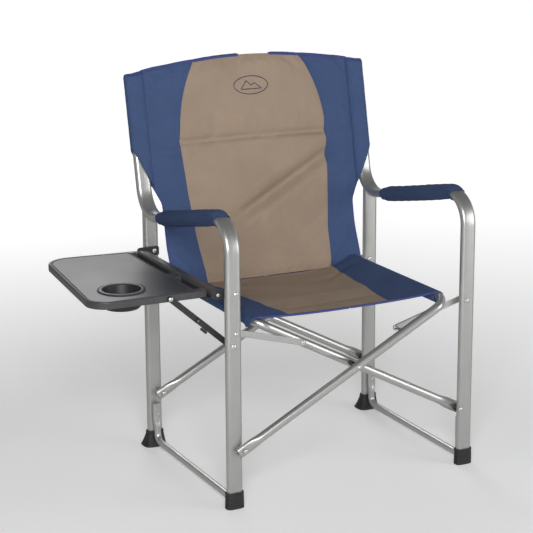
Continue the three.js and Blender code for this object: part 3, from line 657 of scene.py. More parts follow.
def make_skid_rivet(name, body, centre, facing):
    """One of the two small rivets that hold a flattened skid end to its leg."""
    head, tall = 3.2 * MM, 1.7 * MM
    profile = [(0, 0), (head, 0), (head * 0.9, 0.9 * MM), (head * 0.5, 1.5 * MM), (0, tall)]
    rivet = lathe(name, centre, [(r, -facing * h) for r, h in profile], STEEL, "Y", 20)
    if facing > 0:
        rivet.data.flip_normals()
    dress(rivet, body, "rivet_steel")


# ---- Feet ---------------------------------------------------------------------------------------

FOOT_RIBS = 5
FOOT_FLARE = {"front": 0.49 * MM, "rear": 1.4 * MM}


def foot_levels(height):
    """Heights up a foot and the outline's growth there: a bevel, grip ribs and a rim."""
    levels = [(0.0, 0.94), (0.8 * MM, 1.0)]
    ribbed = 0.72 * height
    for k in range(FOOT_RIBS):
        z = height * 0.08 + ribbed * k / FOOT_RIBS
        levels += [(z + ribbed / FOOT_RIBS * share, grow)
                   for share, grow in ((0, 1.0), (0.55, 1.0), (0.62, 0.965), (0.93, 0.965))]
    return levels + [(height * 0.86, 1.0), (height - 1.2 * MM, 1.0), (height, 0.97)]


def make_foot(side, sign, row, y):
    """A moulded boot with grip ribs; a rear one spreads to a wide base behind the leg."""
    node = f"{row}_foot_{side}"
    low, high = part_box(node)
    x, height, wall = side_x(sign), high.z, 2.4 * MM
    top = (TUBE_WIDE / 2 + wall, TUBE_THICK / 2 + wall)
    base = ((high.x - low.x) / 2, (high.y - low.y) / 2)
    shift = (high.y + low.y) / 2 - y
    outlines = []
    for z, grow in foot_levels(height):
        spread = max(0.0, 1 - z / height) ** 1.5
        half_x = top[0] + (base[0] - top[0]) * spread + FOOT_FLARE[row] * spread
        half_y = top[1] + (base[1] - top[1]) * spread
        outline = superellipse(half_x * grow, half_y * grow, 3.4)
        outlines.append([(x + px, y + shift * spread + py, z) for px, py in outline])
    pocket = superellipse(TUBE_WIDE / 2 + 0.3 * MM, TUBE_THICK / 2 + 0.3 * MM, 3.0)
    for z in (height - 0.6 * MM, SOLE_Z - 0.3 * MM):
        outlines.append([(x + px, y + py, z) for px, py in pocket])
    points = [point for outline in outlines for point in outline]
    faces = solid_faces(len(outlines), len(pocket))
    boot = mesh_piece(f"boot_{side}_{row}", points, faces, RUBBER, 55.0)
    dress(boot, f"{side}_side", "black_plastic", node)


# ---- Cross frames, links and rivets -------------------------------------------------------------


def make_cross_frame(letter, sign):
    """A U of round tube: two legs from the lower pivots, joined by the seat rail."""
    y = FRAME_Y[letter] - LEG_DEPTH / 2
    low = Vector((MIDDLE_X + sign * (MIDDLE_X - LOWER_PIVOT.x), 0, LOWER_PIVOT.z))
    high = Vector((MIDDLE_X - sign * RAIL_X, 0, RAIL_Z))
    rise = (high - low).normalized()
    tail = low - rise * CROSS_TAIL
    rows = [y, y, y + LEG_DEPTH, y + LEG_DEPTH]
    corners = [Vector((c.x, row, c.z)) for c, row in zip([tail, high, high, tail], rows)]
    path = bent_path(corners, [CROSS_BEND, CROSS_BEND], 14, 9 * MM)
    shape = pressed_ends(34 * MM, 26 * MM, 0.26, 0.34)
    name = f"cross_frame_{letter}"
    across = rise.cross(Vector((0, 1, 0)))
    tube = swept_tube(f"cross_{letter}", path, across, circle(CROSS_R), CROSS_TUBE, TUBE_WALL, shape)
    dress(tube, name, "tube_silver", name)


def make_rivet(node):
    """A smooth domed rivet in place of a faceted one, with both heads and its shank."""
    radius, half = size_of(node).x / 2, size_of(node).y / 2
    dome = 2.2 * MM
    shank = radius * 0.55
    head = [(radius, dome), (radius * 0.98, dome * 0.75), (radius * 0.8, dome * 0.32),
            (radius * 0.5, dome * 0.08), (0, 0)]
    front = [(r, -half + h) for r, h in reversed(head)]
    back = [(r, half - h) for r, h in head]
    profile = [*front, (shank, -half + dome), (shank, half - dome), *back]
    rivet = lathe(f"{node}_domed", middle_of(node), profile, STEEL, "Y", 28)
    dress(rivet, body_of_node(node), "rivet_steel", node)


def make_spacer(node):
    """A turned bush with softened rims."""
    radius, half = size_of(node).x / 2, size_of(node).y / 2
    profile = bush_profile(radius, half, min(0.8 * MM, half / 2))
    bush = lathe(f"{node}_bush", middle_of(node), profile, BLACK)
    dress(bush, body_of_node(node), "black_plastic", node)


def bar_between(start, end, wide):
    """Outline of a flat bar with round ends, in the x and z plane."""
    along = (end - start).normalized()
    across = Vector((-along.y, along.x)) * (wide / 2)
    steps = 14
    outline = []
    for centre, turn in ((end, 1), (start, -1)):
        for k in range(steps + 1):
            a = math.pi * (k / steps - 0.5)
            outline.append(centre + (along * (wide / 2) * math.cos(a) + across * math.sin(a)) * turn)
    return outline


def make_bar(node, descending, wide, surface, slot, name):
    """A flat bar between two rivets, from its node's box."""
    low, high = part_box(node)
    edge = wide / 2
    heights = (high.z - edge, low.z + edge) if descending else (low.z + edge, high.z - edge)
    ends = Vector((low.x + edge, heights[0])), Vector((high.x - edge, heights[1]))
    holes = [circle(RIVET_HOLE_R, 20, end) for end in ends]
    upright_plate(name, bar_between(*ends, wide), holes, low.y, high.y - low.y, 0.7 * MM, surface,
                  body_of_node(node), slot, node)


# ---- Side table ---------------------------------------------------------------------------------

SLOT_HALF = 8.5 * MM
SLOT_INSET = 13.7 * MM     # from the tray's inner edge to the slots' middle
CUP_FLANGE = 9.5 * MM


def tray_outline(inset=0.0, inner=None):
    """The tray seen from above: its hinge side is straight, the outer side slants."""
    low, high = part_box("table_tray")
    corners = [(high.x, low.y), (high.x, high.y - 21 * MM), (low.x + 41 * MM, high.y),
               (low.x, low.y + 4 * MM)]
    middle = (low + high) / 2
    moved = []
    for x, y in corners:
        new_x = inner if inner is not None and x > middle.x else x - math.copysign(inset, x - middle.x)
        moved.append((new_x, y - math.copysign(inset, y - middle.y)))
    radii = [max(r - inset, 4 * MM) for r in (6 * MM, 6 * MM, 58 * MM, 46 * MM)]
    return rounded(moved, radii)


def make_table():
    """The tray's rim is a frame around the sheet, which lies in it on a thinner panel."""
    low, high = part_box("table_tray")
    cup = middle_of("cup_holder")
    cup_r = size_of("cup_holder").x / 2 - CUP_FLANGE
    slot_x = high.x - SLOT_INSET
    slot_low, slot_high = slot_x - SLOT_HALF, slot_x + SLOT_HALF
    first, part, last = low.y + 24 * MM, low.y + 130 * MM, high.y - 38 * MM
    slots = [rounded_box(slot_low, y0, slot_high, y1, 4.5 * MM, 6)
             for y0, y1 in ((first, part), (part + 40 * MM, last))]
    cup_hole = circle(cup_r + 0.4 * MM, 72, cup)
    inner = slot_low - 5 * MM

    holes = [tray_outline(8 * MM, inner), *slots]
    lying_plate("tray_rim", tray_outline(), holes, low.z, high.z - low.z, 3.2 * MM, TRAY,
                "table_plastic", "table_tray")
    lying_plate("tray_panel", tray_outline(7 * MM, inner + 1 * MM), [cup_hole], high.z - 7 * MM, 4 * MM,
                0.8 * MM, TRAY, "table_plastic")
    lying_plate("top_sheet", tray_outline(8.4 * MM, inner - 0.4 * MM), [cup_hole], high.z - 2.8 * MM,
                2.2 * MM, 0.5 * MM, SHEET, "table_surface", "table_sheet")
    # Painted shade: a black sheet under the slots stands in for the dark seen through the open slots.
    lap = 2 * MM
    slot_shade_outline = rounded_box(slot_low - lap, first - lap, slot_high + lap, last + lap, 4 * MM)
    lying_plate("slot_shade_sheet", slot_shade_outline, [], low.z + 1 * MM, 1.6 * MM, 0.3 * MM, BLACK, "black_plastic")
    make_tray_ribs(low, high, inner)
    make_cup(cup, cup_r)
    make_hinge_bar()


def make_tray_ribs(low, high, inner):
    """Moulded stiffening ribs under the panel."""
    half, tall = 1.5 * MM, 8 * MM
    for k in range(3):
        y = low.y + (high.y - low.y) * (0.42 + 0.2 * k)
        outline = rounded_box(low.x + 42 * MM, y - half, inner - 2 * MM, y + half, 1 * MM, 3)
        lying_plate(f"tray_rib_{k}", outline, [], high.z - 6 * MM - tall, tall, 0.4 * MM, TRAY,
                    "table_plastic")


def make_cup(cup, cup_r):
    """The cup well with its ringed flange, turned from one profile of radii and heights."""
    low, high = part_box("cup_holder")
    flange = (high.x - low.x) / 2
    inner = cup_r - 2 * MM
    up = [(0, 0), (cup_r - 11 * MM, 0), (cup_r - 5 * MM, 1.5 * MM), (cup_r - 1.5 * MM, 5 * MM),
          (cup_r, 10 * MM)]
    over = [(cup_r, 1.9 * MM), (flange - 0.8 * MM, 1.9 * MM), (flange, 1.2 * MM),
            (flange - 0.8 * MM, 0.4 * MM), (flange - 1.4 * MM, 0), (flange - 2.0 * MM, 0.7 * MM),
            (flange - 2.6 * MM, 0), (cup_r + 0.6 * MM, 0), (cup_r - 0.6 * MM, 0.6 * MM),
            (inner, 3 * MM)]
    down = [(inner, 11 * MM), (inner - 2.5 * MM, 6 * MM), (inner - 8 * MM, 3.2 * MM),
            (inner - 16 * MM, 2.4 * MM), (0, 2.4 * MM)]
    profile = [(r, low.z + h) for r, h in up]
    profile += [(r, high.z - h) for r, h in over]
    profile += [(r, low.z + h) for r, h in down]
    holder = lathe("cup_well_liner", Vector((cup.x, cup.y, 0)), profile, [BLACK, SHEET], "Z", 96)
    for face in holder.data.polygons:
        reach = (face.center.xy - cup.xy).length
        face.material_index = int(reach > cup_r + 1 * MM and face.center.z > high.z - 1.6 * MM)
    dress(holder, "table", "black_plastic", "cup_holder")


def make_hinge_bar():
    """The bar along the tray's inner edge, its two journals, and a clip under the tray at each end."""
    low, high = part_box("hinge_bar")
    inset = TUBE_THICK / 2 + 5 * MM
    first, last = FRONT_Y + inset, REAR_Y - inset
    outline = rounded_box(low.x, low.z, high.x, high.z, (high.x - low.x) * 0.2, 8)
    upright_plate("table_hinge_bar", outline, [], first, last - first, 1.2 * MM, TRAY,
                  "table", "table_plastic", "hinge_bar")
    for place, y0, y1 in (("front", low.y, first + 2 * MM), ("rear", last - 2 * MM, high.y)):
        profile = bush_profile(4 * MM, (y1 - y0) / 2, 0.5 * MM)
        centre = Vector((HINGE.x, (y0 + y1) / 2, HINGE.z))
        dress(lathe(f"hinge_journal_{place}", centre, profile, STEEL), "table", "rivet_steel")
    wide, top = 16 * MM, low.z - 1.2 * MM
    for place, y in (("front", first + 30 * MM), ("rear", last - 30 * MM)):
        clip = rounded_box(low.x - 16 * MM, top - 4 * MM, high.x - 3 * MM, top, 1.5 * MM)
        upright_plate(f"tray_clip_{place}", clip, [], y - wide / 2, wide, 0.6 * MM, BLACK,
                      "table", "black_plastic")


def make_bracket(node):
    """The ear that carries the hinge bar, folded from black steel."""
    low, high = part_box(node)
    outline = rounded_box(low.x, low.z, high.x, high.z, [8 * MM, 5 * MM, 5 * MM, 8 * MM], 8)
    rivet = middle_of(node.replace("hinge_bracket", "bracket_rivet"))
    holes = [circle(4.6 * MM, 24, (HINGE.x, HINGE.z)), circle(RIVET_HOLE_R, 20, (rivet.x, rivet.z))]
    upright_plate(f"{node}_ear", outline, holes, low.y, high.y - low.y, 0.7 * MM, BLACK_STEEL,
                  body_of_node(node), "black_steel", node)


def make_latch():
    """The small tab on the lower brace bar."""
    node = "brace_latch"
    low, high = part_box(node)
    centre = middle_of(node)
    upper, lower = pivot("brace_upper_pivot"), pivot("brace_lower_pivot")
    along = Vector((lower.x - upper.x, lower.z - upper.z)).normalized()
    across = Vector((-along.y, along.x))
    half_long, half_tall = 9 * MM, 3 * MM
    corners = [Vector((centre.x, centre.z)) + along * (half_long * i) + across * (half_tall * j)
               for i, j in ((-1, -1), (1, -1), (1, 1), (-1, 1))]
    outline = rounded(corners, [2 * MM] * 4, 5)
    upright_plate("brace_latch_tab", outline, [], low.y, high.y - low.y, 0.6 * MM, BLACK_STEEL,
                  body_of_node(node), "black_steel", node)


# ---- Cloth --------------------------------------------------------------------------------------


def soft_ramp(value, softness):
    """Zero below zero and the value above it, with a rounded corner between."""
    return (value + np.sqrt(value ** 2 + softness ** 2)) / 2


def hump(distance, width):
    """1 at no distance, fading out smoothly to both sides."""
    return np.exp(-(distance / width) ** 2)


def unit(vectors):
    return vectors / np.linalg.norm(vectors, axis=-1, keepdims=True)


def grid_normals(points):
    """Unit normals of a grid of points: columns crossed with rows."""
    return unit(np.cross(np.gradient(points, axis=1), np.gradient(points, axis=0)))


def halve(values, axis):
    """Doubles a grid's density along an axis with smooth midpoints."""
    values = np.moveaxis(values, axis, 0)
    padded = np.concatenate([2 * values[:1] - values[1:2], values, 2 * values[-1:] - values[-2:-1]])
    between = (9 * (padded[1:-2] + padded[2:-1]) - padded[:-3] - padded[3:]) / 16
    result = np.empty((2 * len(values) - 1, *values.shape[1:]))
    result[::2] = values
    result[1::2] = between
    return np.moveaxis(result, 0, axis)


def refine(values):
    return halve(halve(values, 0), 1)


def pinned_edges(shape, columns):
    """Marks a grid's first and last row, and as many columns as given at each side."""
    pinned = np.zeros(shape, bool)
    pinned[:, :columns] = pinned[:, -columns:] = True
    pinned[[0, -1]] = True
    return pinned


def crease(x, z, start, end, width, depth):
    """A soft fold along a line, fading towards both ends."""
    (x0, z0), (x1, z1) = start, end
    long = math.hypot(x1 - x0, z1 - z0)
    along = ((x - x0) * (x1 - x0) + (z - z0) * (z1 - z0)) / long ** 2
    across = ((x - x0) * (z1 - z0) - (z - z0) * (x1 - x0)) / long
    fade = smoothstep(along, -0.15, 0.2) * (1 - smoothstep(along, 0.75, 1.2))
    return depth * fade * hump(across, width)


def creases(x, z, table):
    """The sum of creases given as start, end, and the width and depth in millimetres."""
    return sum(crease(x, z, start, end, width * MM, depth * MM) for start, end, width, depth in table)


def cloth_shell(name, front, back, uv, surfaces, paint, normals=None):
    """A closed sheet between two grids of points. `paint` picks a surface for each column and
    `normals` shades the two grids; the narrow faces that join them stay flat."""
    rows, columns = front.shape[:2]
    f, b = np.arange(2 * rows * columns).reshape(2, rows, columns).tolist()
    faces, picks, flat = [], [], []

    def add(column, joins, *corners):
        faces.append(corners)
        picks.append(paint[column])
        flat.append(joins)

    last, end = rows - 1, columns - 1
    for r in range(last):
        for c in range(end):
            add(c, False, f[r][c], f[r][c + 1], f[r + 1][c + 1], f[r + 1][c])
            add(c, False, b[r][c], b[r + 1][c], b[r + 1][c + 1], b[r][c + 1])
    for c in range(end):
        add(c, True, b[0][c], b[0][c + 1], f[0][c + 1], f[0][c])
        add(c, True, f[last][c], f[last][c + 1], b[last][c + 1], b[last][c])
    for r in range(last):
        add(0, True, f[r][0], f[r + 1][0], b[r + 1][0], b[r][0])
        add(end - 1, True, b[r][end], b[r + 1][end], f[r + 1][end], f[r][end])
    points = np.concatenate([front.reshape(-1, 3), back.reshape(-1, 3)])
    piece = mesh_piece(name, points, faces, surfaces, 180.0)
    mesh = piece.data
    mesh.polygons.foreach_set("material_index", picks)
    corners = np.array(faces).ravel()
    corner_uv = np.concatenate([uv.reshape(-1, 2)] * 2)[corners]
    mesh.uv_layers.new(name="cloth").data.foreach_set("uv", corner_uv.astype(np.float32).ravel())
    if normals is not None:
        corner_normals = np.concatenate([side.reshape(-1, 3) for side in normals])[corners]
        corner_normals[np.repeat(flat, 4)] = 0
        mesh.normals_split_custom_set(corner_normals.tolist())
    return piece


def cut_piece(name, front, rear, uv, paint, first, last):
    """The part of a sheet from one column to another, shaded like the whole sheet."""
    cut = (slice(None), slice(first, last + 1))
    normals = grid_normals(front)[cut], -grid_normals(rear)[cut]
    surfaces = [BLUE_CLOTH, TAN_CLOTH]
    return cloth_shell(name, front[cut], rear[cut], uv[cut], surfaces, paint[first:last], normals)


def paint_columns(blue, tan, columns):
    """Surface of each column of a refined sheet: blue, then tan, then blue."""
    paint = np.zeros(columns - 1, int)
    paint[2 * blue:2 * (blue + tan)] = 1
    return paint


def vertex_places(mesh):
    places = np.zeros(len(mesh.vertices) * 3)
    mesh.vertices.foreach_get("co", places)
    return places.reshape(-1, 3)


def cloth_travel(piece, pinned, pressure, frames, cap, **settings):
    """How far each point of a closed cloth moves under pressure, cut to the cap. Pinned points
    stay, and the piece itself is left as it was."""
    piece.vertex_groups.new(name="pinned").add(pinned, 1.0, "REPLACE")
    cloth = piece.modifiers.new("cloth", "CLOTH")
    shared = {"quality": 6, "vertex_group_mass": "pinned", "use_pressure": True,
              "uniform_pressure_force": pressure}
    for setting, value in {**shared, **settings}.items():
        setattr(cloth.settings, setting, value)
    cloth.settings.effector_weights.gravity = 0
    scene = bpy.context.scene
    for step in range(1, frames + 1):
        scene.frame_set(step)
    graph = bpy.context.evaluated_depsgraph_get()
    travel = vertex_places(piece.evaluated_get(graph).data) - vertex_places(piece.data)
    piece.modifiers.remove(cloth)
    piece.vertex_groups.clear()
    scene.frame_set(1)
    length = np.linalg.norm(travel, axis=1, keepdims=True)
    return travel * np.minimum(1, cap / np.maximum(length, 1e-9))


def settle(front, back, pinned, pressure, slack, cap):
    """Lets a closed sheet puff and crumple, and gives its moved grids back."""
    uv = np.zeros((*pinned.shape, 2))
    piece = cloth_shell("settling", front, back, uv, [BLUE_CLOTH], [0] * (pinned.shape[1] - 1))
    held = np.flatnonzero([pinned, pinned]).tolist()
    travel = cloth_travel(piece, held, pressure, 18, cap, mass=0.35, tension_stiffness=18,
                          compression_stiffness=12, shear_stiffness=6, bending_stiffness=1.2,
                          shrink_min=-slack)
    bpy.data.objects.remove(piece)
    front_travel, back_travel = travel.reshape(2, *front.shape)
    return front + front_travel, back + back_travel


STITCH_SHAPE = ((0.0, 0.25, -0.2), (0.22, 1.0, 0.45), (0.78, 1.0, 0.45), (1.0, 0.25, -0.2))
STITCH_SIDES = 6


def stitches(name, points, normals, body, surface, long=3.4 * MM, gap=1.9 * MM, wide=0.75 * MM):
    """A row of thread stitches lying along a line on the cloth."""
    points, normals = np.array(points, float), np.array(normals, float)
    steps = np.linalg.norm(np.diff(points, axis=0), axis=1)
    run = np.concatenate([[0], np.cumsum(steps)])

    def at(values, distance):
        return np.array([np.interp(distance, run, values[:, k]) for k in range(3)])

    count = max(1, round(run[-1] / (long + gap)))
    fit = run[-1] / count / (long + gap)
    long, gap = long * fit, gap * fit
    verts, faces = [], []
    for stitch in range(count):
        start = gap / 2 + stitch * (long + gap)
        along = unit(at(points, start + long) - at(points, start))
        faces += solid_faces(len(STITCH_SHAPE), STITCH_SIDES, len(verts), inward=True)
        for share, girth, lift in STITCH_SHAPE:
            here = at(points, start + long * share)
            normal = unit(at(normals, start + long * share))
            side = np.cross(along, normal)
            verts += [here + normal * (lift * wide + y) + side * x
                      for x, y in circle(wide / 2 * girth, STITCH_SIDES)]
    return dress(mesh_piece(name, verts, faces, surface), body, "fabric_blue")


def tape(name, points, normals, wide, tall, body):
    """A folded binding tape along a line: a soft flat cord closed at both ends."""
    points, normals = np.array(points, float), np.array(normals, float)
    side = unit(np.cross(unit(np.gradient(points, axis=0)), normals))
    count, sides = len(points), 12
    verts = []
    for i in range(count):
        taper = 0.55 if i in (0, count - 1) else 1.0
        for x, y in superellipse(wide / 2 * taper, tall / 2 * taper, 3.0, sides):
            verts.append(points[i] + side[i] * x + normals[i] * y)
    strip = mesh_piece(name, verts, solid_faces(count, sides, inward=True), BINDING, 60.0)
    return dress(strip, body, "fabric_blue")


class Sheet:
    """A finished cloth surface, for laying seams on it by x and a second coordinate."""

    def __init__(self, points, x, along):
        self.points, self.x, self.along = points, x, along
        self.normals = grid_normals(points)

    def at(self, x, along, lift=0.0):
        rows, columns = self.x.shape
        column_rows = [np.interp(x, self.x[r], np.arange(columns)) for r in range(rows)]
        heights = [np.interp(c, np.arange(columns), self.along[r]) for r, c in enumerate(column_rows)]
        row = np.interp(along, heights, np.arange(rows))
        column = np.interp(row, np.arange(rows), column_rows)
        r, c = min(int(row), rows - 2), min(int(column), columns - 2)
        fr, fc = row - r, column - c

        def mixed(grid):
            top = grid[r + 1, c] * (1 - fc) + grid[r + 1, c + 1] * fc
            return (grid[r, c] * (1 - fc) + grid[r, c + 1] * fc) * (1 - fr) + top * fr

        normal = unit(mixed(self.normals))
        return mixed(self.points) + normal * lift, normal

    def line(self, places, lift=0.0):
        """Points and normals at places on the sheet, `lift` above it."""
        found = [self.at(x, along, lift) for x, along in places]
        return [p for p, _ in found], [n for _, n in found]


# ---- Back ---------------------------------------------------------------------------------------

BLUE_COLUMNS = 9
TAN_COLUMNS = 32
LOWER_ROWS = 27
UPPER_ROWS = 25
LOWER_PUFF = 2.2 * MM
SIDE_PUFF = 2.4 * MM
FOOT_FORWARD = 17 * MM
REAR_RELIEF = 0.35         # the rear of the back follows the front's relief by this share
REAR_GROOVE = 0.6
TAN_SEAM_LOW_Z = 0.415
BINDING_TUCK = 2 * MM      # a binding's middle lies this far under the cloth's surface

# Places are (from the middle, height); a negative depth goes in.
BACK_CREASES = (
    ((0.205, 0.668), (-0.050, 0.535), 14, -18),
    ((0.185, 0.700), (-0.030, 0.590), 18, 7.0),
    ((0.150, 0.605), (-0.060, 0.500), 15, 4.5),
    ((-0.020, 0.545), (-0.120, 0.525), 16, -4.0),
    ((0.020, 0.560), (-0.020, 0.500), 10, -3.5),
    ((0.165, 0.520), (0.060, 0.450), 9, -2.6),
    ((0.178, 0.485), (0.105, 0.425), 7, -2.2),
    ((-0.190, 0.600), (-0.060, 0.540), 13, -2.6),
    ((-0.120, 0.690), (0.060, 0.700), 9, -2.0),
    ((-0.262, 0.700), (-0.195, 0.692), 10, -3.0),
    ((-0.255, 0.640), (-0.195, 0.560), 11, -2.6),
    ((0.262, 0.640), (0.205, 0.580), 10, -3.0),
    ((0.240, 0.470), (0.180, 0.405), 9, -3.2),
    ((-0.235, 0.480), (-0.180, 0.410), 9, -2.6),
    ((-0.228, 0.880), (-0.232, 0.700), 12, -1.8),
    ((0.232, 0.860), (0.238, 0.720), 12, -1.8),
)


def on_post_plane(x, z, out):
    """Points on the leaning plane through the posts, x from the middle, z high and `out` to the front."""
    up = (z - POST_CORNER.z) / POST_UP.z
    return np.stack([MIDDLE_X + x, POST_CORNER.y + up * POST_UP.y + out * POST_OUT.y,
                     POST_CORNER.z + up * POST_UP.z + out * POST_OUT.z], axis=-1)


def back_top(x):
    """The top edge arches from the posts to the middle."""
    return BACK_CORNER_Z + (BACK_TOP_Z - BACK_CORNER_Z) * (1 - (x / LEG_X) ** 2)


def cut_height(side, x):
    """Height of the slanted cut above the waist."""
    return CUT_Z[side] + CUT_SLOPE * (x - BACK_WAIST_X)


def back_edge(side, z):
    """Half width of the back: nearly straight below the waist, then slanting out to the sleeve."""
    low = np.clip((z - BACK_LOW_Z) / (CUT_Z[side] - BACK_LOW_Z), 0, 1)
    waist = BACK_FOOT_X + (BACK_WAIST_X - BACK_FOOT_X) * low
    slant = BACK_WAIST_X + soft_ramp((z - CUT_Z[side]) / CUT_SLOPE, 3 * MM)
    return np.minimum(np.maximum(waist, slant), BACK_EDGE_X)


def tan_half(z):
    """Half width of the tan panel, which narrows to the top in a curve."""
    above = np.clip((z - TAN_WIDEST_Z) / (TAN_TOP_Z - TAN_WIDEST_Z), 0, 1.1)
    below = np.clip((TAN_WIDEST_Z - z) / (TAN_WIDEST_Z - BACK_LOW_Z), 0, 1)
    widest = TAN_HALF["widest"]
    return (widest - (widest - TAN_HALF["top"]) * above ** 2.4
            - (widest - TAN_HALF["bottom"]) * below ** 1.3)


def back_relief(x, z):
    """How far the front of the back stands out from its flat plane."""
    half, top = tan_half(z), back_top(x)
    inside = np.clip(1 - (x / (half + 6 * MM)) ** 2, 0, 1)
    rise = np.clip((z - HEAD_SEAM_Z) / (top - HEAD_SEAM_Z), 0, 1)
    head = HEAD_PUFF * inside ** 0.4 * smoothstep(rise, -0.04, 0.17) * (1 - rise) ** 0.75
    below = np.clip((HEAD_SEAM_Z - z) / (50 * MM), 0, 1)
    lower = LOWER_PUFF * inside ** 0.5 * below ** 0.6
    sides = SIDE_PUFF * hump(np.abs(x) - (half + BACK_EDGE_X) / 2, 26 * MM)
    return head + lower + sides + creases(x, z, BACK_CREASES)


def back_grooves(x, z):
    """Seams pull the cloth in: beside the tan panel, under the head panel and along the top."""
    half = tan_half(z)
    within = 1 - smoothstep(np.abs(x), half - 6 * MM, half + 8 * MM)
    side = 1.5 * MM * hump(np.abs(x) - half, 4.5 * MM)
    head = 6.0 * MM * hump(z - HEAD_SEAM_Z, 6.0 * MM) * within
    top = 1.6 * MM * hump(z - back_top(x), 9 * MM)
    return side + head + top


def back_columns(height):
    """Places across the back at a height, with columns that follow the tan panel's sides."""
    half = tan_half(height)
    left = np.linspace(-back_edge("left", height), -half, BLUE_COLUMNS + 1)
    middle = np.linspace(-half, half, TAN_COLUMNS + 1)
    right = np.linspace(half, back_edge("right", height), BLUE_COLUMNS + 1)
    return np.concatenate([left[:-1], middle, right[1:]])


def back_places():
    """Grids of x and z over the whole back: rows are level below the sleeves and follow the
    arched top beside them."""
    low = np.linspace(BACK_LOW_Z, SLEEVE_LOW_Z, LOWER_ROWS + 1)
    x = [back_columns(height) for height in low]
    z = [np.full_like(x[0], height) for height in low]
    for share in np.linspace(0, 1, UPPER_ROWS + 1)[1:]:
        flat = back_columns(SLEEVE_LOW_Z + share * (BACK_CORNER_Z - SLEEVE_LOW_Z))
        z.append(SLEEVE_LOW_Z + share * (back_top(flat) - SLEEVE_LOW_Z))
        x.append(back_columns(SLEEVE_LOW_Z + share * (back_top(0) - SLEEVE_LOW_Z)))
    return np.array(x), np.array(z)


def make_back():
    x, z = back_places()
    relief = back_relief(x, z)
    forward = FOOT_FORWARD * smoothstep(-z, -0.50, -BACK_LOW_Z)    # to meet the seat's rear edge
    front = on_post_plane(x, z, BACK_THICK / 2 + relief + forward)
    rear = on_post_plane(x, z, -BACK_THICK / 2 + REAR_RELIEF * relief + forward)
    pinned = pinned_edges(x.shape, 2)
    seam_row = int(np.argmin(np.abs(z[:, z.shape[1] // 2] - HEAD_SEAM_Z)))
    pinned[seam_row, BLUE_COLUMNS:-BLUE_COLUMNS] = True
    front, rear = settle(front, rear, pinned, pressure=2.2, slack=0.012, cap=5 * MM)
    x, z, front, rear = refine(x), refine(z), refine(front), refine(rear)
    inwards = back_grooves(x, z)[..., None] * np.array(POST_OUT)
    front = front - inwards
    rear = rear + REAR_GROOVE * inwards
    middle, last = x.shape[1] // 2, x.shape[1] - 1
    front[:, middle, 0] = rear[:, middle, 0] = MIDDLE_X

    uv = np.stack([x, z], axis=-1)
    paint = paint_columns(BLUE_COLUMNS, TAN_COLUMNS, x.shape[1])
    for side, (c0, c1) in {"left": (0, middle), "right": (middle, last)}.items():
        piece = cut_piece(f"back_cloth_{side}", front, rear, uv, paint, c0, c1)
        dress(piece, f"back_{side}", "fabric_tan", f"back_panel_{side}", f"back_lower_{side}")
        gather_back(piece, side)
    trim_back(Sheet(front, x, z))


def gather_back(piece, side):
    """Gives the piece a mesh of its own; `side` is not used."""
    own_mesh(piece)


def trim_back(sheet):
    """Seams, top binding, side hems and the stitched badge."""
    for side, sign in SIDES.items():
        body = f"back_{side}"
        heights = np.linspace(TAN_SEAM_LOW_Z, back_top(TAN_HALF["top"]) - 4 * MM, 70)
        line = [(sign * (tan_half(h) + 3 * MM), h) for h in heights]
        gather_back(stitches(f"tan_seam_{side}", *sheet.line(line), body, BLUE_THREAD), side)

        reach = tan_half(HEAD_SEAM_Z) - 3 * MM
        line = [(sign * share * reach, HEAD_SEAM_Z - 3.5 * MM) for share in np.linspace(0.004, 1, 40)]
        gather_back(stitches(f"head_seam_{side}", *sheet.line(line), body, TAN_THREAD), side)

        across = np.linspace(BINDING_GAP[side], SLEEVE_X + 4 * MM, 40)
        line = sheet.line([(sign * d, back_top(d) - 0.5 * MM) for d in across], -BINDING_TUCK)
        gather_back(tape(f"top_binding_{side}", *line, 9 * MM, 7.5 * MM, body), side)

        heights = np.linspace(BACK_LOW_Z + 4 * MM, cut_height(side, SLEEVE_X), 50)
        places = [(sign * (back_edge(side, h) - 0.5 * MM), h) for h in heights]
        line = sheet.line(places, -BINDING_TUCK)
        gather_back(tape(f"side_binding_{side}", *line, 5 * MM, 5.6 * MM, body), side)
        badge_half(sheet, side, sign)


def badge_half(sheet, side, sign):
    """Half of a small stitched oval with two hills inside it."""
    half_wide, half_tall = BADGE_HALF
    oval = [(sign * half_wide * math.sin(a), BADGE_Z + half_tall * math.cos(a))
            for a in np.linspace(0.0, math.pi, 60)]
    peak = {"left": (11 * MM, 11 * MM), "right": (9 * MM, 5 * MM)}[side]
    outline = [(0.5 * MM, -1 * MM), peak, (27 * MM, -9 * MM), (0.5 * MM, -9 * MM)]
    corners = [(sign * x, BADGE_Z + height) for x, height in outline]
    hill = []
    for (x0, z0), (x1, z1) in zip(corners, corners[1:]):
        hill += [(x0 + (x1 - x0) * t, z0 + (z1 - z0) * t) for t in np.linspace(0, 1, 12)]
    for shape, places in (("oval", oval), ("hill", hill)):
        line = sheet.line(places)
        row = stitches(f"badge_{shape}_{side}", *line, f"back_{side}", BADGE_THREAD, *BADGE_STITCH)
        gather_back(row, side)


# ---- Sleeves over the posts ---------------------------------------------------------------------

SLEEVE_ROWS = 44
LINING_ROWS = 12
SLEEVE_POWER = 2 / 0.72


def sleeve_top(x):
    """The sleeve's closed top follows the arch and rounds off over the post's outer side."""
    past = max(0.0, x - LEG_X) / (TUBE_WIDE / 2 + SLEEVE_PAD)
    return max(back_top(x), POST_TOP_Z + 4.5 * MM) - 2 * MM * past ** 3


